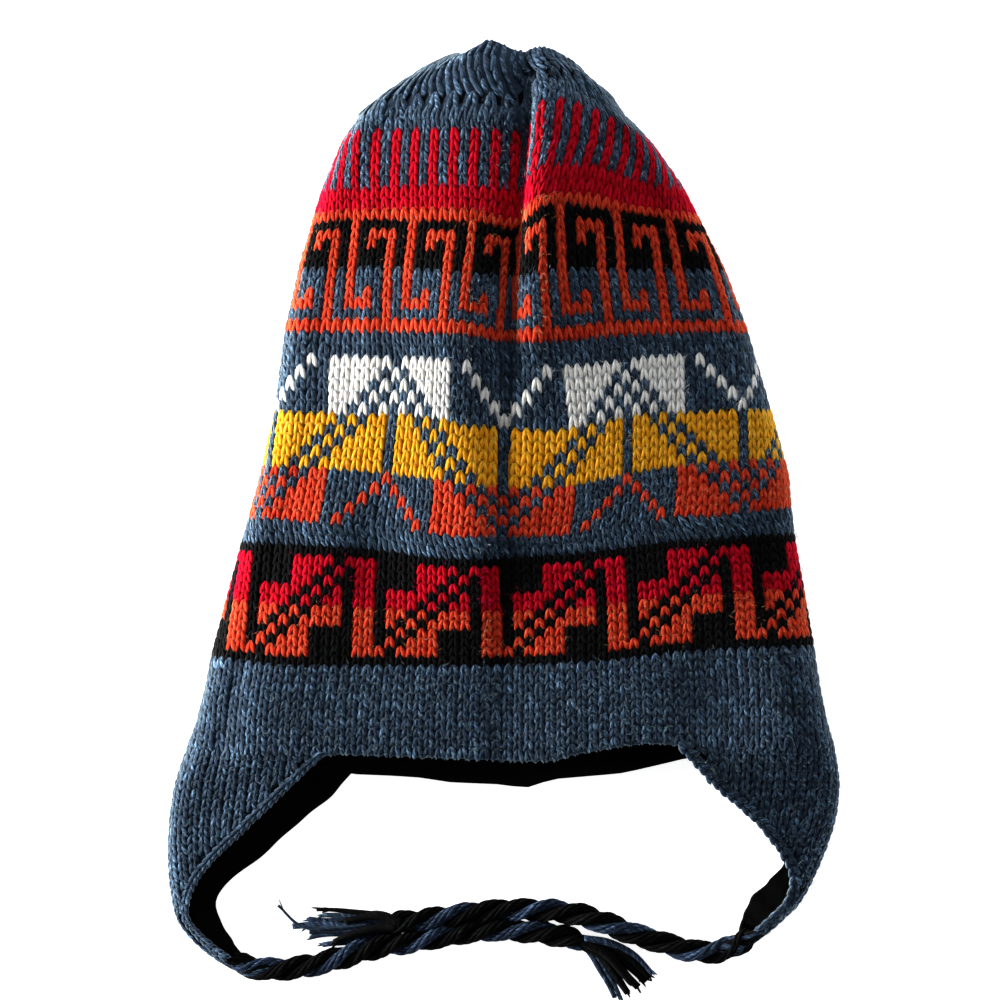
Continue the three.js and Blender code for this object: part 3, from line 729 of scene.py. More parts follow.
# Knit that faces the surface below this has no fibres
FUZZ_LOWEST_NORMAL = -0.5


def add_fuzz(soup, centre, across, down, normal, mats):
    """Stray fibres: thin slivers, pointed at both ends, that stand a little off the stitches."""
    pick = np.repeat(np.flatnonzero(normal[:, 2] > FUZZ_LOWEST_NORMAL), FUZZ_PER_STITCH)
    count = len(pick)

    def drawn(span):
        return random.uniform(*span, count)[:, None] * MM

    up = unit(normal)[pick]
    place = random.uniform(-0.5, 0.5, (count, 2))
    root = centre[pick] + across[pick] * place[:, :1] + down[pick] * place[:, 1:] + up * drawn(FUZZ_ROOT)
    heading = random.uniform(0, 2 * math.pi, count)[:, None]
    way = unit(across)[pick] * np.cos(heading) + unit(down)[pick] * np.sin(heading)
    length, rise, thick = drawn(FUZZ_LENGTH), drawn(FUZZ_RISE), drawn(FUZZ_THICKNESS)
    tip = root + way * length + up * rise
    side = np.cross(up, way)
    bend = (root + tip) / 2 + up * FUZZ_LIFT * MM + side * random.normal(0, 0.3, count)[:, None] * MM
    ring = [bend + thick * (math.cos(a) * side + math.sin(a) * up) for a in FUZZ_ANGLES]
    verts = np.stack([root, *ring, tip], axis=1)
    verts[..., 2] = np.maximum(verts[..., 2], FLOOR_GAP)
    yarn = np.zeros_like(verts)
    yarn[..., 2] = random.random(count)[:, None]
    tris = repeated(FUZZ_FACES, count, verts.shape[1])
    soup.add(verts, (), tris, 0, np.repeat(mats[pick], len(FUZZ_FACES)), yarn)


def frames_between(at):
    """Middle, width, height and outward direction of stitches, from a way to find a shifted wale on
    the line above (row 0) and below (row 1)."""
    mid = (at(0, 0) + at(1, 0)) / 2
    down = at(1, 0) - at(0, 0)
    across = (at(0, 0.5) - at(0, -0.5) + at(1, 0.5) - at(1, -0.5)) / 2
    normal = unit(np.cross(down, across))
    return mid - normal * STITCH_DEPTH, across, down, normal


def stitch_frames(upper, lower, wales):
    return frames_between(lambda row, shift: (upper, lower)[row].find(wales + shift))


def grid_normals(grid, closed):
    if closed:
        along = np.roll(grid, -1, axis=1) - np.roll(grid, 1, axis=1)
    else:
        along = np.gradient(grid, axis=1)
    return unit(np.cross(np.gradient(grid, axis=0), along))


def add_wall(soup, grid, normals, outer, inner, closed, mats, cap=False):
    """A closed wall between two depths under a grid of points, row by row."""
    rows, cols = grid.shape[:2]
    skins = [grid - normals * outer, grid - normals * inner]
    for skin in skins:
        skin[..., 2] = np.maximum(skin[..., 2], 0.0)
    verts = np.concatenate([skin.reshape(-1, 3) for skin in skins])
    index = np.arange(rows * cols).reshape(rows, cols)
    right = np.roll(index, -1, axis=1) if closed else index[:, 1:]
    left = index if closed else index[:, :-1]
    face = np.stack([left[:-1], left[1:], right[1:], right[:-1]], axis=-1).reshape(-1, 4)
    shift = rows * cols
    rims = [(left[-1], right[-1])]
    tris = ()
    if cap:
        top = len(verts)
        verts = np.vstack([verts, *(skin[0].mean(axis=0, keepdims=True) for skin in skins)])
        tris = [[top, a, b] for a, b in zip(left[0], right[0])]
        tris += [[top + 1, b + shift, a + shift] for a, b in zip(left[0], right[0])]
    else:
        rims.append((right[0], left[0]))
    if not closed:
        rims += [(index[:-1, 0], index[1:, 0]), (index[1:, -1], index[:-1, -1])]
    quads = [face, face[:, ::-1] + shift]
    quads += [np.stack([a, a + shift, b + shift, b], axis=-1) for a, b in rims]
    tints = np.broadcast_to(mats, (rows - 1, left.shape[1])).reshape(-1)
    edges = sum(len(a) for a, b in rims)
    soup.add(verts, np.concatenate(quads), tris,
             np.concatenate([tints, tints, np.full(edges, tints[-1])]), tints[0])


# The crown
CAP_CENTRE = np.array([7, 183.5, 9]) * MM
# Size of each loop inside the top edge, and its place along Y in mm
CAP_RINGS = ((0.22, 184.5), (0.58, 187.5))
CAP_FLATNESS = 0.8
# The cap's stitches are shorter than their courses, so that they end inside its edge
CAP_STITCH = 0.6
CAP_THICK = 0.9
# Thickness and spread of the legs, and how far apart they start, in the gathered top and the eyelets
RIBS = {"top": (1.0, 0.56, 0.14), "eyelets": (0.9, 0.62, 0.0)}
# The holes are dark between blue stitches
EYELET_TINTS = [BLACK, BLUE, BLUE, BLUE, BLUE, BLUE, BLACK]


def cap_loops(top):
    """Two small loops inside the gathered top edge."""
    loops = []
    for scale, y in CAP_RINGS:
        points = CAP_CENTRE + (top.points[:-1] - CAP_CENTRE) * scale
        points[:, 1] += (y * MM - points[:, 1]) * CAP_FLATNESS
        loop = Loop(points)
        loop.set_wales(top.count, top.wales[:-1], np.interp(top.at[:-1], top.reach, loop.reach))
        loops.append(loop)
    return loops


ZONE_LOOPS = [zone_loops(zone) for zone in ZONES]
TOP_LOOP = ZONE_LOOPS[0][0]
CAP_LOOPS = cap_loops(TOP_LOOP)
RIM_LOOP = ZONE_LOOPS[-1][-1]


def knit_crown():
    """The crown's stitches, one piece for each zone, over a core coloured like them but darker, as painted
    shade.
    """
    soups, cores = {"top": Soup()}, []
    wales = np.arange(TOP_LOOP.count)
    for upper, lower in zip(CAP_LOOPS, [*CAP_LOOPS[1:], TOP_LOOP]):
        middle, across, down, normal = stitch_frames(upper, lower, wales)
        middle = middle - down * (1 - CAP_STITCH) / 2
        add_stitches(soups["top"], middle, across, down * CAP_STITCH, normal, np.full(len(wales), BLUE),
                     CAP_THICK)
    for (name, upper, lower, courses, count, colour), loops in zip(ZONES, ZONE_LOOPS):
        soup = soups.setdefault(name, Soup())
        wales = np.arange(count)
        for course in range(courses):
            tints = np.array([LETTERS.index(colour(course, int(w))) for w in wales])
            frames = stitch_frames(loops[course], loops[course + 1], wales)
            add_stitches(soup, *frames, tints, *RIBS.get(name, ()))
            if name not in RIBS:
                add_fuzz(soup, *frames, tints)
            behind = np.tile(EYELET_TINTS, count) if name == "eyelets" else tints
            cores.append((loops[course], behind))
    add_hem(soups["brim"])
    for name, soup in soups.items():
        soup.build("knit_" + name, YARNS, "knit")
    knit_core(cores)


# The hem: how far it drops below the rim, how deep it turns under, its step forward, how far it runs
# past the corners, and the height over which the front lies
HEM_DROP = 0.1 * MM
HEM_DEPTH = 3.4 * MM
HEM_STEP = 0.4 * MM
HEM_SINK = 0.62 * MM
HEM_OVERRUN = 2 * MM
FRONT_HEIGHT = 15 * MM


def add_hem(soup):
    """The last course turns under along the free rim between the flaps."""
    wales = np.arange(RIM_LOOP.count)
    across, down, normal = stitch_frames(ZONE_LOOPS[-1][-2], RIM_LOOP, wales)[1:]
    edge = RIM_LOOP.find(wales)
    low, high = (RIM_CORNERS[hand][0] * MM for hand in ("left", "right"))
    mine = (edge[:, 0] > low - HEM_OVERRUN) & (edge[:, 0] < high + HEM_OVERRUN) & (edge[:, 2] > FRONT_HEIGHT)
    across, normal, edge, forward = across[mine], normal[mine], edge[mine], unit(down[mine])
    start = edge - normal * HEM_SINK + forward * HEM_DROP
    turned = -normal * HEM_DEPTH + forward * HEM_STEP
    add_stitches(soup, start + turned / 2, across, turned, unit(np.cross(turned, across)),
                 np.full(len(edge), BLUE))


def knit_core(cores):
    """The fabric behind the stitches, closed at the top, with each face in its stitch's colour, darkened as
    painted shade.
    """
    rows = [loop.at_reach(loop.columns()) for loop in CAP_LOOPS]
    tints = [np.full(FRONT_COLUMNS + BACK_COLUMNS, BLUE)] * len(CAP_LOOPS)
    for loop, colours in cores:
        columns = loop.columns()
        rows.append(loop.at_reach(columns))
        wales = loop.wale_at((columns + np.append(columns[1:], loop.total)) / 2)
        tints.append(colours[np.floor((wales + 0.5) * len(colours) / loop.count).astype(int) % len(colours)])
    rows.append(RIM_LOOP.at_reach(RIM_LOOP.columns()))
    grid = np.array(rows)
    soup = Soup()
    add_wall(soup, grid, grid_normals(grid, True), CORE_DEPTH, CORE_DEPTH + CORE_THICKNESS, True,
             np.array(tints), cap=True)
    soup.build("crown_core", CORES, "knit", "crown")


# The ear flaps
# Stations down each folded flap, in millimetres: the fold, the front edge, the back edge that lies
# under it, the front edge's height and the thickness at the fold
FLAPS = {
    "left": [
        ((-137.2, -117.5), (-91.7, -119.5), (-74.2, -124.6), 24, 19),
        ((-139.6, -134.2), (-108.3, -135.4), (-88.8, -136.7), 20, 17),
        ((-140, -148.8), (-122.5, -149.2), (-103.3, -149.2), 16.5, 15),
        ((-138.8, -163.3), (-131, -162.1), (-117.1, -161.3), 13.5, 13),
        ((-136.2, -174.2), (-132.4, -171.8), (-119.6, -170.6), 12, 12),
        ((-127.9, -184.6), (-124.9, -181.8), (-115.4, -179.4), 11, 11.5),
        ((-118.4, -192), (-116, -189.2), (-110.8, -185.4), 10.5, 11),
    ],
    "right": [
        ((140.5, -117.5), (90, -117.5), (91.2, -119.2), 24, 19),
        ((138.8, -132.1), (105.8, -131.7), (105.8, -134.4), 20, 17),
        ((134.6, -145.4), (116.7, -145.4), (115.4, -148.3), 16.5, 15),
        ((129.2, -157.9), (121.3, -156.3), (110.4, -157.9), 13.5, 13),
        ((123.8, -167.5), (120.2, -164.2), (104.6, -164.2), 12, 12),
        ((116.7, -174.6), (114.6, -171.2), (101.7, -169.6), 11, 11.5),
        ((110, -180.4), (108, -177.2), (99, -174.2), 10.5, 11),
    ],
}
# Where each flap leaves the rim, in millimetres: the corner of the front, the corner of the back
RIM_CORNERS = {"left": (-74.5, -62.0), "right": (72.5, 78.0)}
FLAP_COURSE = 3.95 * MM
ACROSS = np.linspace(-1, 1, 121)
MIDDLE = len(ACROSS) // 2
SECTION_POINTS = 20
RIM_POINTS = 60


def half_line(points, count):
    """Evenly spaced points along a line, and the line's length."""
    reach = reach_along(points)
    return along_line(points, reach, np.linspace(0, reach[-1], count)), reach[-1]


def flap_station(row):
    """The C-shaped section from the back edge over the fold to the front edge."""
    fold, front, back = (np.array([*point, 0.0]) * MM for point in row[:3])
    edge_z, side = row[3] * MM, row[4] * MM
    inward = unit(unit(front - fold) + unit(back - fold))
    radius = side / 2
    reach = np.linalg.norm(front - fold)
    sweep = math.acos(np.clip(1 - reach / radius, 0, 1))

    def arc(end):
        angles = np.linspace(0, end, SECTION_POINTS)
        points = fold + np.outer(radius * (1 - np.cos(angles)), inward)
        points[:, 2] = radius * (1 + np.sin(angles))
        return points

    upper = arc(sweep)
    if reach > radius:
        upper = np.vstack([upper, [front[0], front[1], edge_z]])
    return join_halves(upper, np.vstack([arc(-math.pi / 2), back]))


def join_halves(upper, lower):
    front, front_length = half_line(upper, MIDDLE + 1)
    back, back_length = half_line(lower, MIDDLE + 1)
    return np.vstack([back[::-1], front[1:]]), front_length, back_length


def rim_station(hand):
    """The rim's own line between the flap's corners, so that the flap grows out of the crown."""
    front_x, back_x = (x * MM for x in RIM_CORNERS[hand])
    loop = RIM_LOOP
    if hand == "left":
        fold, turn = loop.reach[0], 1
    else:
        fold, turn = loop.reach_at(loop.points[:, 0].max()), -1
    front = (loop.reach_at(front_x) - fold) * turn
    back = ((fold - loop.reach_at(back_x, back=True)) * turn) % loop.total
    upper = loop.at_reach(fold + turn * np.linspace(0, front, RIM_POINTS))
    lower = loop.at_reach(fold - turn * np.linspace(0, back, RIM_POINTS))
    wales = [loop.wale_at(fold + turn * away) for away in (0, front, -back)]
    return join_halves(upper, lower), wales


def hermite(places, values, at):
    """A smooth curve through the stations' values."""
    slopes = np.gradient(values, places, axis=0)
    k = np.clip(np.searchsorted(places, at, side="right") - 1, 0, len(places) - 2)
    span = places[k + 1] - places[k]
    t = (at - places[k]) / span
    shape = (-1,) + (1,) * (values.ndim - 1)
    t, span = t.reshape(shape), span.reshape(shape)
    return ((1 + 2 * t) * (1 - t) ** 2 * values[k] + t * (1 - t) ** 2 * span * slopes[k]
            + t * t * (3 - 2 * t) * values[k + 1] + t * t * (t - 1) * span * slopes[k + 1])


class Flap:
    """A flap's courses: each a line of points from the back edge (-1) over the fold (0) to the front (1)."""

    def __init__(self, hand):
        (rim, front, back), (fold_wale, front_wale, back_wale) = rim_station(hand)
        stations = [(rim, front, back), *(flap_station(row) for row in FLAPS[hand])]
        lines, fronts, backs = (np.array(values) for values in zip(*stations))
        places = reach_along(lines[:, MIDDLE])
        self.courses = int(round(places[-1] / FLAP_COURSE))
        at = np.linspace(0, places[-1], self.courses + 1)
        self.lines, self.front, self.back = (hermite(places, v, at) for v in (lines, fronts, backs))
        self.turn = 1 if hand == "left" else -1
        self.fold_wale = fold_wale
        count = RIM_LOOP.count
        self.front_pitch = front / (((front_wale - fold_wale) * self.turn) % count)
        self.back_pitch = back / (((fold_wale - back_wale) * self.turn) % count)

    def offset(self, wale):
        """Distance of a wale from the fold, the same down the whole flap. Positive is to the front."""
        away = (np.asarray(wale, float) - self.fold_wale) * self.turn
        half = RIM_LOOP.count / 2
        away = (away + half) % (2 * half) - half
        return np.where(away > 0, away * self.front_pitch, away * self.back_pitch)

    def find(self, course, distance):
        distance = np.asarray(distance, float)
        share = np.where(distance > 0, distance / self.front[course], distance / self.back[course])
        return along_line(self.lines[course], ACROSS, share)

    def edge(self, inset):
        """The line along the front edge, a little way in from it."""
        return np.array([self.find(k, self.front[k] - inset) for k in range(self.courses + 1)])


# Size of the stitches in the front edge's chain, and how far in from the edges the other stitches stop
EDGE_CHAINS = {"left": 3.4 * MM, "right": 4.3 * MM}
BACK_INSET = 4.2 * MM
FRONT_INSET = {"left": 2.6 * MM, "right": 2.9 * MM}
# Columns that the core leaves off at the back and the front edge
CORE_COLUMNS = slice(6, -5)
# How far a flap's back edge is tucked in, and the shares of the way down where that starts to fade
# and ends
TUCK = {"left": 0.0, "right": 3.0 * MM}
TUCK_FADE = 0.52, 0.66


def tuck_at(flap, share):
    start, end = TUCK_FADE
    return TUCK["left" if flap.turn > 0 else "right"] * np.clip((end - share) / (end - start), 0, 1)


def knit_flap(hand):
    flap = Flap(hand)
    soup = Soup()
    wales = np.arange(RIM_LOOP.count)
    distance = flap.offset(wales)
    for course in range(flap.courses):
        front = min(flap.front[course:course + 2]) - FRONT_INSET[hand]
        back = min(flap.back[course:course + 2]) - BACK_INSET - tuck_at(flap, course / flap.courses)
        mine = wales[(distance < front) & (distance > -back)]
        if len(mine) == 0:
            continue
        frames = frames_between(lambda row, shift: flap.find(course + row, flap.offset(mine + shift)))
        tints = np.full(len(mine), BLUE)
        add_stitches(soup, *frames, tints)
        add_fuzz(soup, *frames, tints)
    add_edge_chain(soup, flap, EDGE_CHAINS[hand])
    soup.build("flap_" + hand + "_knit", YARNS, "knit")
    core = Soup()
    grid = flap.lines[:, CORE_COLUMNS]
    if flap.turn < 0:
        grid = grid[:, ::-1]
    add_wall(core, grid, grid_normals(grid, False), CORE_DEPTH, CORE_DEPTH + CORE_THICKNESS, False, BLUE)
    core.build("flap_" + hand + "_core", CORES, "knit", "ear_flap_" + hand)
    return flap


# Shares of the chain's size: its outer and inner line in from the edge, its stitches' length and width
CHAIN_OUTER, CHAIN_INNER = 0.16, 0.95
CHAIN_LENGTH, CHAIN_WIDTH = 0.95, 1.15
CHAIN_DEPTH = 0.6 * STITCH_DEPTH
CHAIN_THICK = 1.1
CHAIN_POINTS = 200


def add_edge_chain(soup, flap, size):
    """The raised chain of stitches along a flap's front edge."""
    outer, total = half_line(flap.edge(CHAIN_OUTER * size), CHAIN_POINTS)
    inner = half_line(flap.edge(CHAIN_INNER * size), CHAIN_POINTS)[0]
    count = int(total / (size * CHAIN_LENGTH))
    last = CHAIN_POINTS - 1
    index = np.arange(CHAIN_POINTS)
    at = (np.arange(count) + 0.5) / count * last
    low, high = (np.clip(at + step * last / 2 / count, 0, last) for step in (-1, 1))
    down = along_line(outer, index, high) - along_line(outer, index, low)
    start = along_line(outer, index, at)
    side = along_line(inner, index, at) - start
    side -= down * (np.sum(side * down, axis=1) / np.sum(down * down, axis=1))[:, None]
    normal = unit(np.cross(down, side * -flap.turn))
    across = unit(np.cross(normal, down)) * size * CHAIN_WIDTH
    normal = unit(np.cross(down, across))
    add_stitches(soup, start - normal * CHAIN_DEPTH, across, down, normal, np.full(count, BLUE), CHAIN_THICK)


# The lining
LINING_OUTER = 3.3 * MM
LINING_INNER = 4.9 * MM
LINING_NOISE = 0.35 * MM
# How far its cut edge wanders, and over how many columns in from the edge
WAVE = 0.5 * MM
WAVE_COLUMNS = 12
# Columns left off at the front edge of the flaps
FRONT_TRIM = 5


def rough(points, size):
    """A soft unevenness for brushed cloth, the same at each run."""
    x, y = points[..., 0], points[..., 1]
    a = np.sin(x * 1310 + 1.7 * np.sin(y * 930))
    b = np.sin(y * 1570 + 2.1 * np.sin(x * 710))
    return size * (0.5 * a * b + 0.5 * np.sin(x * 420 + y * 390))


def wavy_edge(flap, lines):
    """The lining's cut edge at the back of a flap wanders in and out, and is tucked in higher up."""
    courses = len(lines)
    lines = hermite(np.arange(courses), lines, np.linspace(0, courses - 1.001, 3 * courses))
    down = np.linspace(0, 1, len(lines))
    wander = WAVE * (np.sin(down * 17) + 0.6 * np.sin(down * 41 + 1)) - tuck_at(flap, down)
    fade = np.clip(1 - np.arange(lines.shape[1]) / WAVE_COLUMNS, 0, 1)
    out = unit(lines[:, :1] - lines[:, WAVE_COLUMNS:WAVE_COLUMNS + 1])
    return (lines + out * (wander[:, None] * fade)[..., None])[:, ::3]


def add_cloth(soup, grid, closed):
    normals = grid_normals(grid, closed)
    grid = grid + normals * rough(grid, LINING_NOISE)[..., None]
    add_wall(soup, grid, normals, LINING_OUTER, LINING_INNER, closed, 0, cap=closed)


def add_lining(flaps):
    loops = [loop for zone in ZONES[1:] for loop in zone_loops(zone, smooth_pleat=True)[:-1:2]]
    loops.append(zone_loops(ZONES[-1], smooth_pleat=True)[-1])
    soup = Soup()
    add_cloth(soup, np.array([loop.at_reach(loop.columns()) for loop in loops]), True)
    for flap in flaps:
        grid = wavy_edge(flap, flap.lines[:, :-FRONT_TRIM])
        add_cloth(soup, grid[:, ::flap.turn], False)
    soup.build("black_lining", [lining_material()], "lining", "lining")


# The braided ties
# The same routes as the CAD, in millimetres
TIE_ROUTES = {
    "left": [
        (-113.2, -190.6, 5), (-107.4, -193.2, 5), (-101, -194.6, 5), (-91, -194.6, 5), (-81, -193.4, 5),
        (-73, -191.6, 5), (-65, -189.4, 5), (-57, -187.2, 5), (-49, -185.6, 5), (-40, -184.6, 5),
        (-31, -183.6, 5), (-22, -182.4, 5), (-13, -181.2, 5), (-4, -180.4, 5), (6, -180.4, 5),
        (16, -181, 5), (25, -182.2, 5), (33, -184.6, 5),
    ],
    "right": [
        (103.4, -180, 5), (98, -184.2, 5), (91.4, -186.8, 5), (84, -187.4, 5), (74, -185.8, 5),
        (65, -183, 5), (56, -180.2, 5.6), (48, -177.2, 6.6), (40, -174, 7.2), (32, -171.4, 7),
        (23, -169.8, 6), (14, -169, 5.2), (4, -168.8, 5), (-6, -169.2, 5), (-15, -170.2, 5),
        (-24, -171.6, 5), (-33, -173, 5), (-41, -174, 5), (-48, -175, 5),
    ],
}
# Where each braid leans a little off its route: place along X, half width and shift along Y, in mm
TIE_LEAN = {"left": (-8, 44, 2.2), "right": (-14, 46, -1.4)}
BRAID_PITCH = 37.8 * MM
BRAID_SWING = 2.85 * MM
BRAID_RISE = 2.1 * MM
BRAID_STEP = 1.3 * MM
# The braid is slimmer this near its ends
BRAID_FADE = 7 * MM
# How far along each tie the strand of darkened blue, painted shade, first lies on top
FIRST_SHADED_BLUE = {"left": 45.2 * MM, "right": 21.3 * MM}
YARN_RADIUS = 0.95 * MM
YARNS_PER_STRAND = 7
STRAND_RADIUS = 1.5 * MM
STRAND_PITCH = 24 * MM
YARN_WANDER = 9 * MM
TUBE_SIDES = 6
# Tubes stay this far over the surface
TUBE_GAP = 0.05 * MM


def smooth_route(points, step):
    """Evenly spaced points on a smooth curve through the route's points."""
    points = np.array(points, float) * MM
    places = reach_along(points)
    fine = hermite(places, points, np.linspace(0, places[-1], 600))
    return half_line(fine, int(places[-1] / step) + 1)


def tube_frames(path):
    tangent = unit(np.gradient(path, axis=0))
    side = unit(np.cross(tangent, [0, 0, 1.0]))
    return tangent, side, np.cross(side, tangent)


def add_tube(soup, path, radius, mat, own, sides=TUBE_SIDES):
    """A round yarn along a path; radius is one number or one for each point. Both ends are closed."""
    count = len(path)
    side, lift = tube_frames(path)[1:]
    radius = np.broadcast_to(radius, (count,))[:, None, None]
    reach = reach_along(path)
    angle = (2 * math.pi * np.arange(sides) / sides - math.pi / 2)[None, :, None]
    ring = path[:, None] + radius * (np.cos(angle) * side[:, None] + np.sin(angle) * lift[:, None])
    verts = np.vstack([ring.reshape(-1, 3), path[:1], path[-1:]])
    yarn = np.zeros((len(verts), 3))
    yarn[:-2, 0] = np.repeat(reach, sides)
    yarn[:-2, 1] = np.tile(np.arange(sides) / sides, count)
    yarn[-1, 0] = reach[-1]
    yarn[:, 2] = own
    index = np.arange(count * sides).reshape(count, sides)
    following = np.roll(index, -1, axis=1)
    quads = np.stack([index[:-1], following[:-1], following[1:], index[1:]], axis=-1).reshape(-1, 4)
    start, end = count * sides, count * sides + 1
    tris = [[start, b, a] for a, b in zip(index[0], following[0])]
    tris += [[end, a, b] for a, b in zip(index[-1], following[-1])]
    verts[:, 2] = np.maximum(verts[:, 2], TUBE_GAP)
    soup.add(verts, quads, tris, mat, mat, yarn)


def braid_tie(hand):
    """Three strands, each a twisted bundle of yarns, that lie over each other in turn."""
    route, total = smooth_route(TIE_ROUTES[hand], BRAID_STEP)
    place, width, shift = TIE_LEAN[hand]
    route[:, 1] += shift * MM * bell(route[:, 0] - place * MM, width * MM)
    side = tube_frames(route)[1]
    reach = np.linspace(0, total, len(route))
    ends = np.minimum(1, np.minimum(reach, total - reach) / BRAID_FADE + 0.35)
    soup = Soup()
    for strand in range(3):
        phase = 2 * math.pi * ((reach - FIRST_SHADED_BLUE[hand]) / BRAID_PITCH + strand / 3 + 0.5)
        swing = BRAID_SWING * np.sin(phase) * ends
        rise = -BRAID_RISE * np.cos(phase) * ends
        core = route + side * swing[:, None] + np.array([0, 0, 1.0]) * rise[:, None]
        core_side, core_lift = tube_frames(core)[1:]
        for k in range(YARNS_PER_STRAND):
            angle = 2 * math.pi * (k / (YARNS_PER_STRAND - 1) + reach / STRAND_PITCH)[:, None]
            out = 0.0 if k == YARNS_PER_STRAND - 1 else STRAND_RADIUS
            wander = 1 + 0.12 * np.sin(reach / YARN_WANDER + 2.3 * k + strand)
            path = core + out * wander[:, None] * (np.cos(angle) * core_side + np.sin(angle) * core_lift)
            # The first strand is blue darkened as painted shade, the others black
            add_tube(soup, path, YARN_RADIUS, SHADED_BLUE if strand == 0 else BLACK, random.random())
    return soup.build("braid_" + hand, YARNS, "braid", "tie_" + hand)


# Locks of each tassel: px points from the tie's end to the tip, height at both ends in mm, radius in mm, and
# colour. S is blue darkened as painted shade; the B locks among them are the undarkened blue, laid as
# painted highlights.
LOCKS = {
    "left": [
        (((577, 942), (591, 953), (602, 974), (615, 999)), 3.4, 2.2, 1.8, "S"),
        (((579, 943), (597, 957), (609, 977), (621, 1001)), 3.6, 1.9, 1.7, "B"),
        (((579, 944), (601, 956), (615, 976), (629, 994)), 4.2, 2.3, 2.5, "K"),
        (((580, 942), (604, 952), (621, 970), (638, 989)), 4.4, 2.4, 2.7, "K"),
        (((580, 941), (608, 949), (628, 965), (645, 984)), 4.4, 2.4, 2.6, "K"),
        (((581, 942), (600, 950), (615, 963), (631, 984)), 6.4, 4.4, 2.4, "K"),
        (((582, 940), (610, 946), (634, 962), (650, 979)), 5.6, 3.2, 2.4, "K"),
        (((584, 940), (608, 943), (632, 955), (653, 975)), 6.8, 4.0, 1.9, "S"),
    ],
    "right": [
        (((398, 921), (376, 915), (346, 912), (316, 911)), 6.4, 4.4, 1.4, "K"),
        (((400, 923), (382, 917), (366, 917), (344, 921)), 7.4, 5.4, 2.3, "K"),
        (((394, 921), (366, 918), (342, 917), (322, 917)), 5.0, 3.4, 1.8, "B"),
        (((394, 924), (364, 922), (334, 922), (308, 921)), 4.2, 2.2, 2.0, "S"),
        (((394, 925), (362, 927), (330, 926), (292, 927)), 4.2, 2.3, 2.3, "S"),
        (((394, 926), (362, 931), (336, 932), (309, 933)), 4.2, 2.4, 2.3, "S"),
        (((394, 927), (364, 935), (336, 935), (310, 939)), 3.6, 2.0, 1.7, "S"),
        (((394, 928), (366, 938), (346, 943), (322, 947)), 3.4, 2.0, 1.9, "S"),
        (((398, 928), (376, 929), (354, 934), (334, 944)), 6.6, 4.2, 2.2, "K"),
        (((372, 925), (330, 929), (300, 926), (277, 907)), 5.4, 3.0, 0.95, "B"),
    ],
}
LOCK_POINTS = 16
LOCK_SWAY = 0.4 * MM
FRAYS = 4
FRAY_LENGTH = 2.5, 5.0
FRAY_RADIUS = 0.55 * MM


def make_tassel(hand):
    """The loose locks that cover the tie's end, frayed at their tips."""
    soup = Soup()
    t = np.linspace(0, 1, LOCK_POINTS)
    for points, high, low, radius, letter in LOCKS[hand]:
        px, py = np.array(points, float).T
        corners = np.stack([at_x(px), at_y(py), np.linspace(high, low, len(px)) * MM], axis=1)
        path = hermite(np.arange(len(px)), corners, np.linspace(0, len(px) - 1.001, LOCK_POINTS))
        tangent, side = tube_frames(path)[:2]
        path = path + side * (LOCK_SWAY * np.sin(t * 7 + px[-1]) * t)[:, None]
        thick = radius * MM * (0.72 + 0.28 * np.sin(math.pi * np.minimum(1, t + 0.12))) * (1 - 0.22 * t)
        mat = LETTERS.index(letter)
        add_tube(soup, path, thick, mat, random.random(), sides=8)
        for fray in range(FRAYS):
            start = path[-2 - fray % 2] + side[-1] * (random.uniform(-0.5, 0.5) * thick[-1])
            way = unit(tangent[-1] + side[-1] * random.normal(0, 0.25))
            line = start + np.linspace(0, 1, 5)[:, None] * way * random.uniform(*FRAY_LENGTH) * MM
            slim = min(0.6 * thick[-1], FRAY_RADIUS) * np.array([1, 1, 0.9, 0.7, 0.3])
            add_tube(soup, line, slim, mat, random.random(), sides=4)
    return soup.build("tassel_" + hand + "_locks", YARNS, "braid", "tassel_" + hand)


def make_tie(hand):
    piece = braid_tie(hand)
    tassel = make_tassel(hand)


# The yarns that gather each flap's tip into its braid
ROOT_YARNS = 21
ROOT_COURSE = -4
ROOT_DEPTH = 2.2 * MM
ROOT_RADIUS = 1.2 * MM
# How far they reach round the tip and round the braid
ROOT_SPREAD = 1.4
ROOT_TURN = 125
ROOT_POINTS = 20
# Place along the braid in mm, offset from its middle in mm, and turn round it in degrees
ROOT_PATH = ((4, 2.7, 0), (8, 3.4, 50), (12, 3.2, 100), (16, 2.3, 130))
# The yarns that aren't black: blue, and blue darkened as painted shade
ROOT_MATS = {
    "left": {7: SHADED_BLUE, 8: BLUE, 9: BLUE, 13: SHADED_BLUE, 14: SHADED_BLUE},
    "right": {8: SHADED_BLUE, 10: BLUE, 11: BLUE, 12: BLUE, 16: SHADED_BLUE, 17: SHADED_BLUE},
}


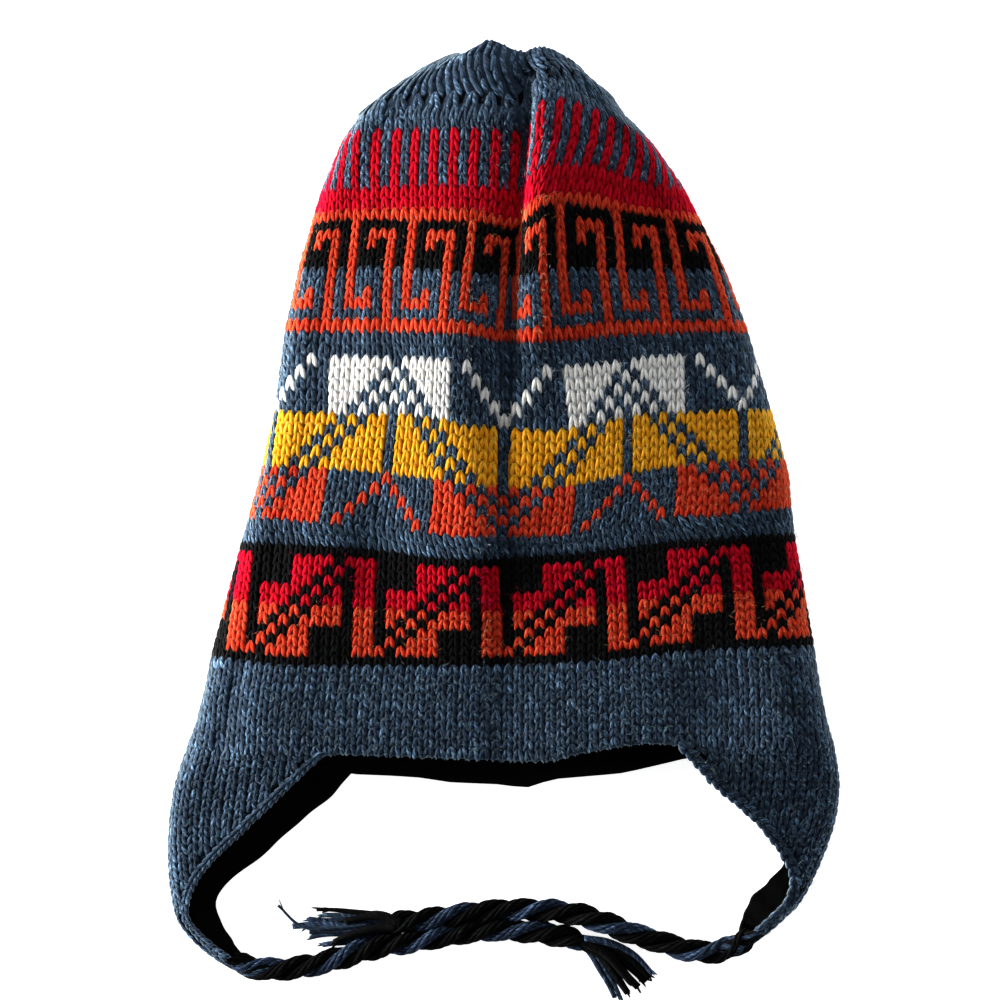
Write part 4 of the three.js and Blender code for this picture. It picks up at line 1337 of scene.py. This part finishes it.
def make_root(flap, hand):
    """The gathered tip of a flap, which winds round the start of its braid."""
    route = smooth_route(TIE_ROUTES[hand], 1 * MM)[0]
    tangent = tube_frames(route)[0]
    tip = flap.lines[-1]
    out = unit((tip[MIDDLE] - route[4]) * [1, 1, 0])
    out = unit(out - tangent[4] * np.dot(out, tangent[4]))
    soup = Soup()
    for k, share in enumerate(np.linspace(-ROOT_SPREAD, ROOT_SPREAD, ROOT_YARNS)):
        column = int(round((np.clip(share, -0.97, 0.97) + 1) / 2 * (len(ACROSS) - 1)))
        inward = unit(route[0] - tip[column]) * ROOT_DEPTH
        path = [flap.lines[ROOT_COURSE][column] + inward, tip[column] + inward * 0.8]
        for place, offset, turn in ROOT_PATH:
            angle = share * math.radians(ROOT_TURN) + math.radians(turn)
            about = math.cos(angle) * out + math.sin(angle) * np.array([0, 0, 1.0])
            path.append(route[place] + about * offset * MM)
        path = np.array(path)
        places = reach_along(path)
        path = hermite(places, path, np.linspace(0, places[-1] - 1e-9, ROOT_POINTS))
        radius = ROOT_RADIUS * np.linspace(1, 0.75, ROOT_POINTS)
        add_tube(soup, path, radius, ROOT_MATS[hand].get(k, BLACK), random.random())
    soup.build("tie_root_" + hand, YARNS, "braid")


# Stage, camera and lights
FLOOR_HALF = 4
# The floor is lit a little from beneath, as a light table is
FLOOR_GLOW = 0.74


def add_stage():
    n = Nodes("pale_floor")
    grain = n.noise(n.place(), 90.0, 4.0)
    n.fill(n.shader, {
        "Base Color": n.ramp(grain, [(0.3, (0.84, 0.84, 0.835, 1)), (0.7, (0.88, 0.88, 0.875, 1))]),
        "Emission Color": (1.0, 1.0, 1.0, 1),
        "Emission Strength": FLOOR_GLOW,
        "Roughness": 0.9,
    })
    mesh = bpy.data.meshes.new("floor")
    corners = [(x * FLOOR_HALF, y * FLOOR_HALF, 0) for x, y in ((-1, -1), (1, -1), (1, 1), (-1, 1))]
    mesh.from_pydata(corners, [], [(0, 1, 2, 3)])
    mesh.materials.append(n.material)
    floor = bpy.data.objects.new("floor", mesh)
    bpy.context.scene.collection.objects.link(floor)


PHOTO_SIZE = 1000
FRAME_WIDTH = PHOTO_SIZE * METRES_PER_PX
LENS = 300.0
SENSOR = 36.0
# The height at which the frame has the photo's scale
SCALE_HEIGHT = 12 * MM


def add_camera():
    data = bpy.data.cameras.new("camera")
    data.lens = LENS
    data.sensor_width = SENSOR
    camera = bpy.data.objects.new("camera", data)
    distance = FRAME_WIDTH / SENSOR * LENS
    middle = PHOTO_SIZE / 2
    camera.location = (float(at_x(middle)), float(at_y(middle)), distance + SCALE_HEIGHT)
    data.clip_start, data.clip_end = 0.1, 50.0
    bpy.context.scene.collection.objects.link(camera)
    bpy.context.scene.camera = camera


WORLD_STRENGTH = 0.16
# Place, size, power and colour
LIGHTS = {
    "key": ((-1.64, 0.12, 0.31), 0.56, 84, (1.0, 0.99, 0.98)),
    "fill": ((0.1, 1.6, 0.62), 0.9, 15, (0.97, 0.98, 1.0)),
    "side": ((1.5, -0.3, 0.6), 0.9, 5.5, (0.97, 0.98, 1.0)),
}


def add_lights():
    """Round lamps that face the hat, and a weak even light."""
    world = bpy.data.worlds.new("studio")
    world.use_nodes = True
    background = world.node_tree.nodes["Background"]
    background.inputs[0].default_value = (0.95, 0.97, 1.0, 1)
    background.inputs[1].default_value = WORLD_STRENGTH
    bpy.context.scene.world = world
    for name, (place, size, power, colour) in LIGHTS.items():
        data = bpy.data.lights.new(name, "AREA")
        data.shape = "DISK"
        data.size = size
        data.energy = power
        data.color = colour
        light = bpy.data.objects.new(name, data)
        light.location = place
        light.rotation_mode = "QUATERNION"
        light.rotation_quaternion = Vector(place).to_track_quat("Z", "Y")
        light.visible_camera = False
        bpy.context.scene.collection.objects.link(light)


add_camera()
make_tie("left")
make_tie("right")
knit_crown()
flaps = [knit_flap("left"), knit_flap("right")]
add_lining(flaps)
for flap, hand in zip(flaps, ("left", "right")):
    make_root(flap, hand)
add_stage()
add_lights()
bpy.context.scene.view_settings.view_transform = "Standard"
bpy.context.scene.view_settings.look = "Medium High Contrast"

bpy.context.view_layer.update()
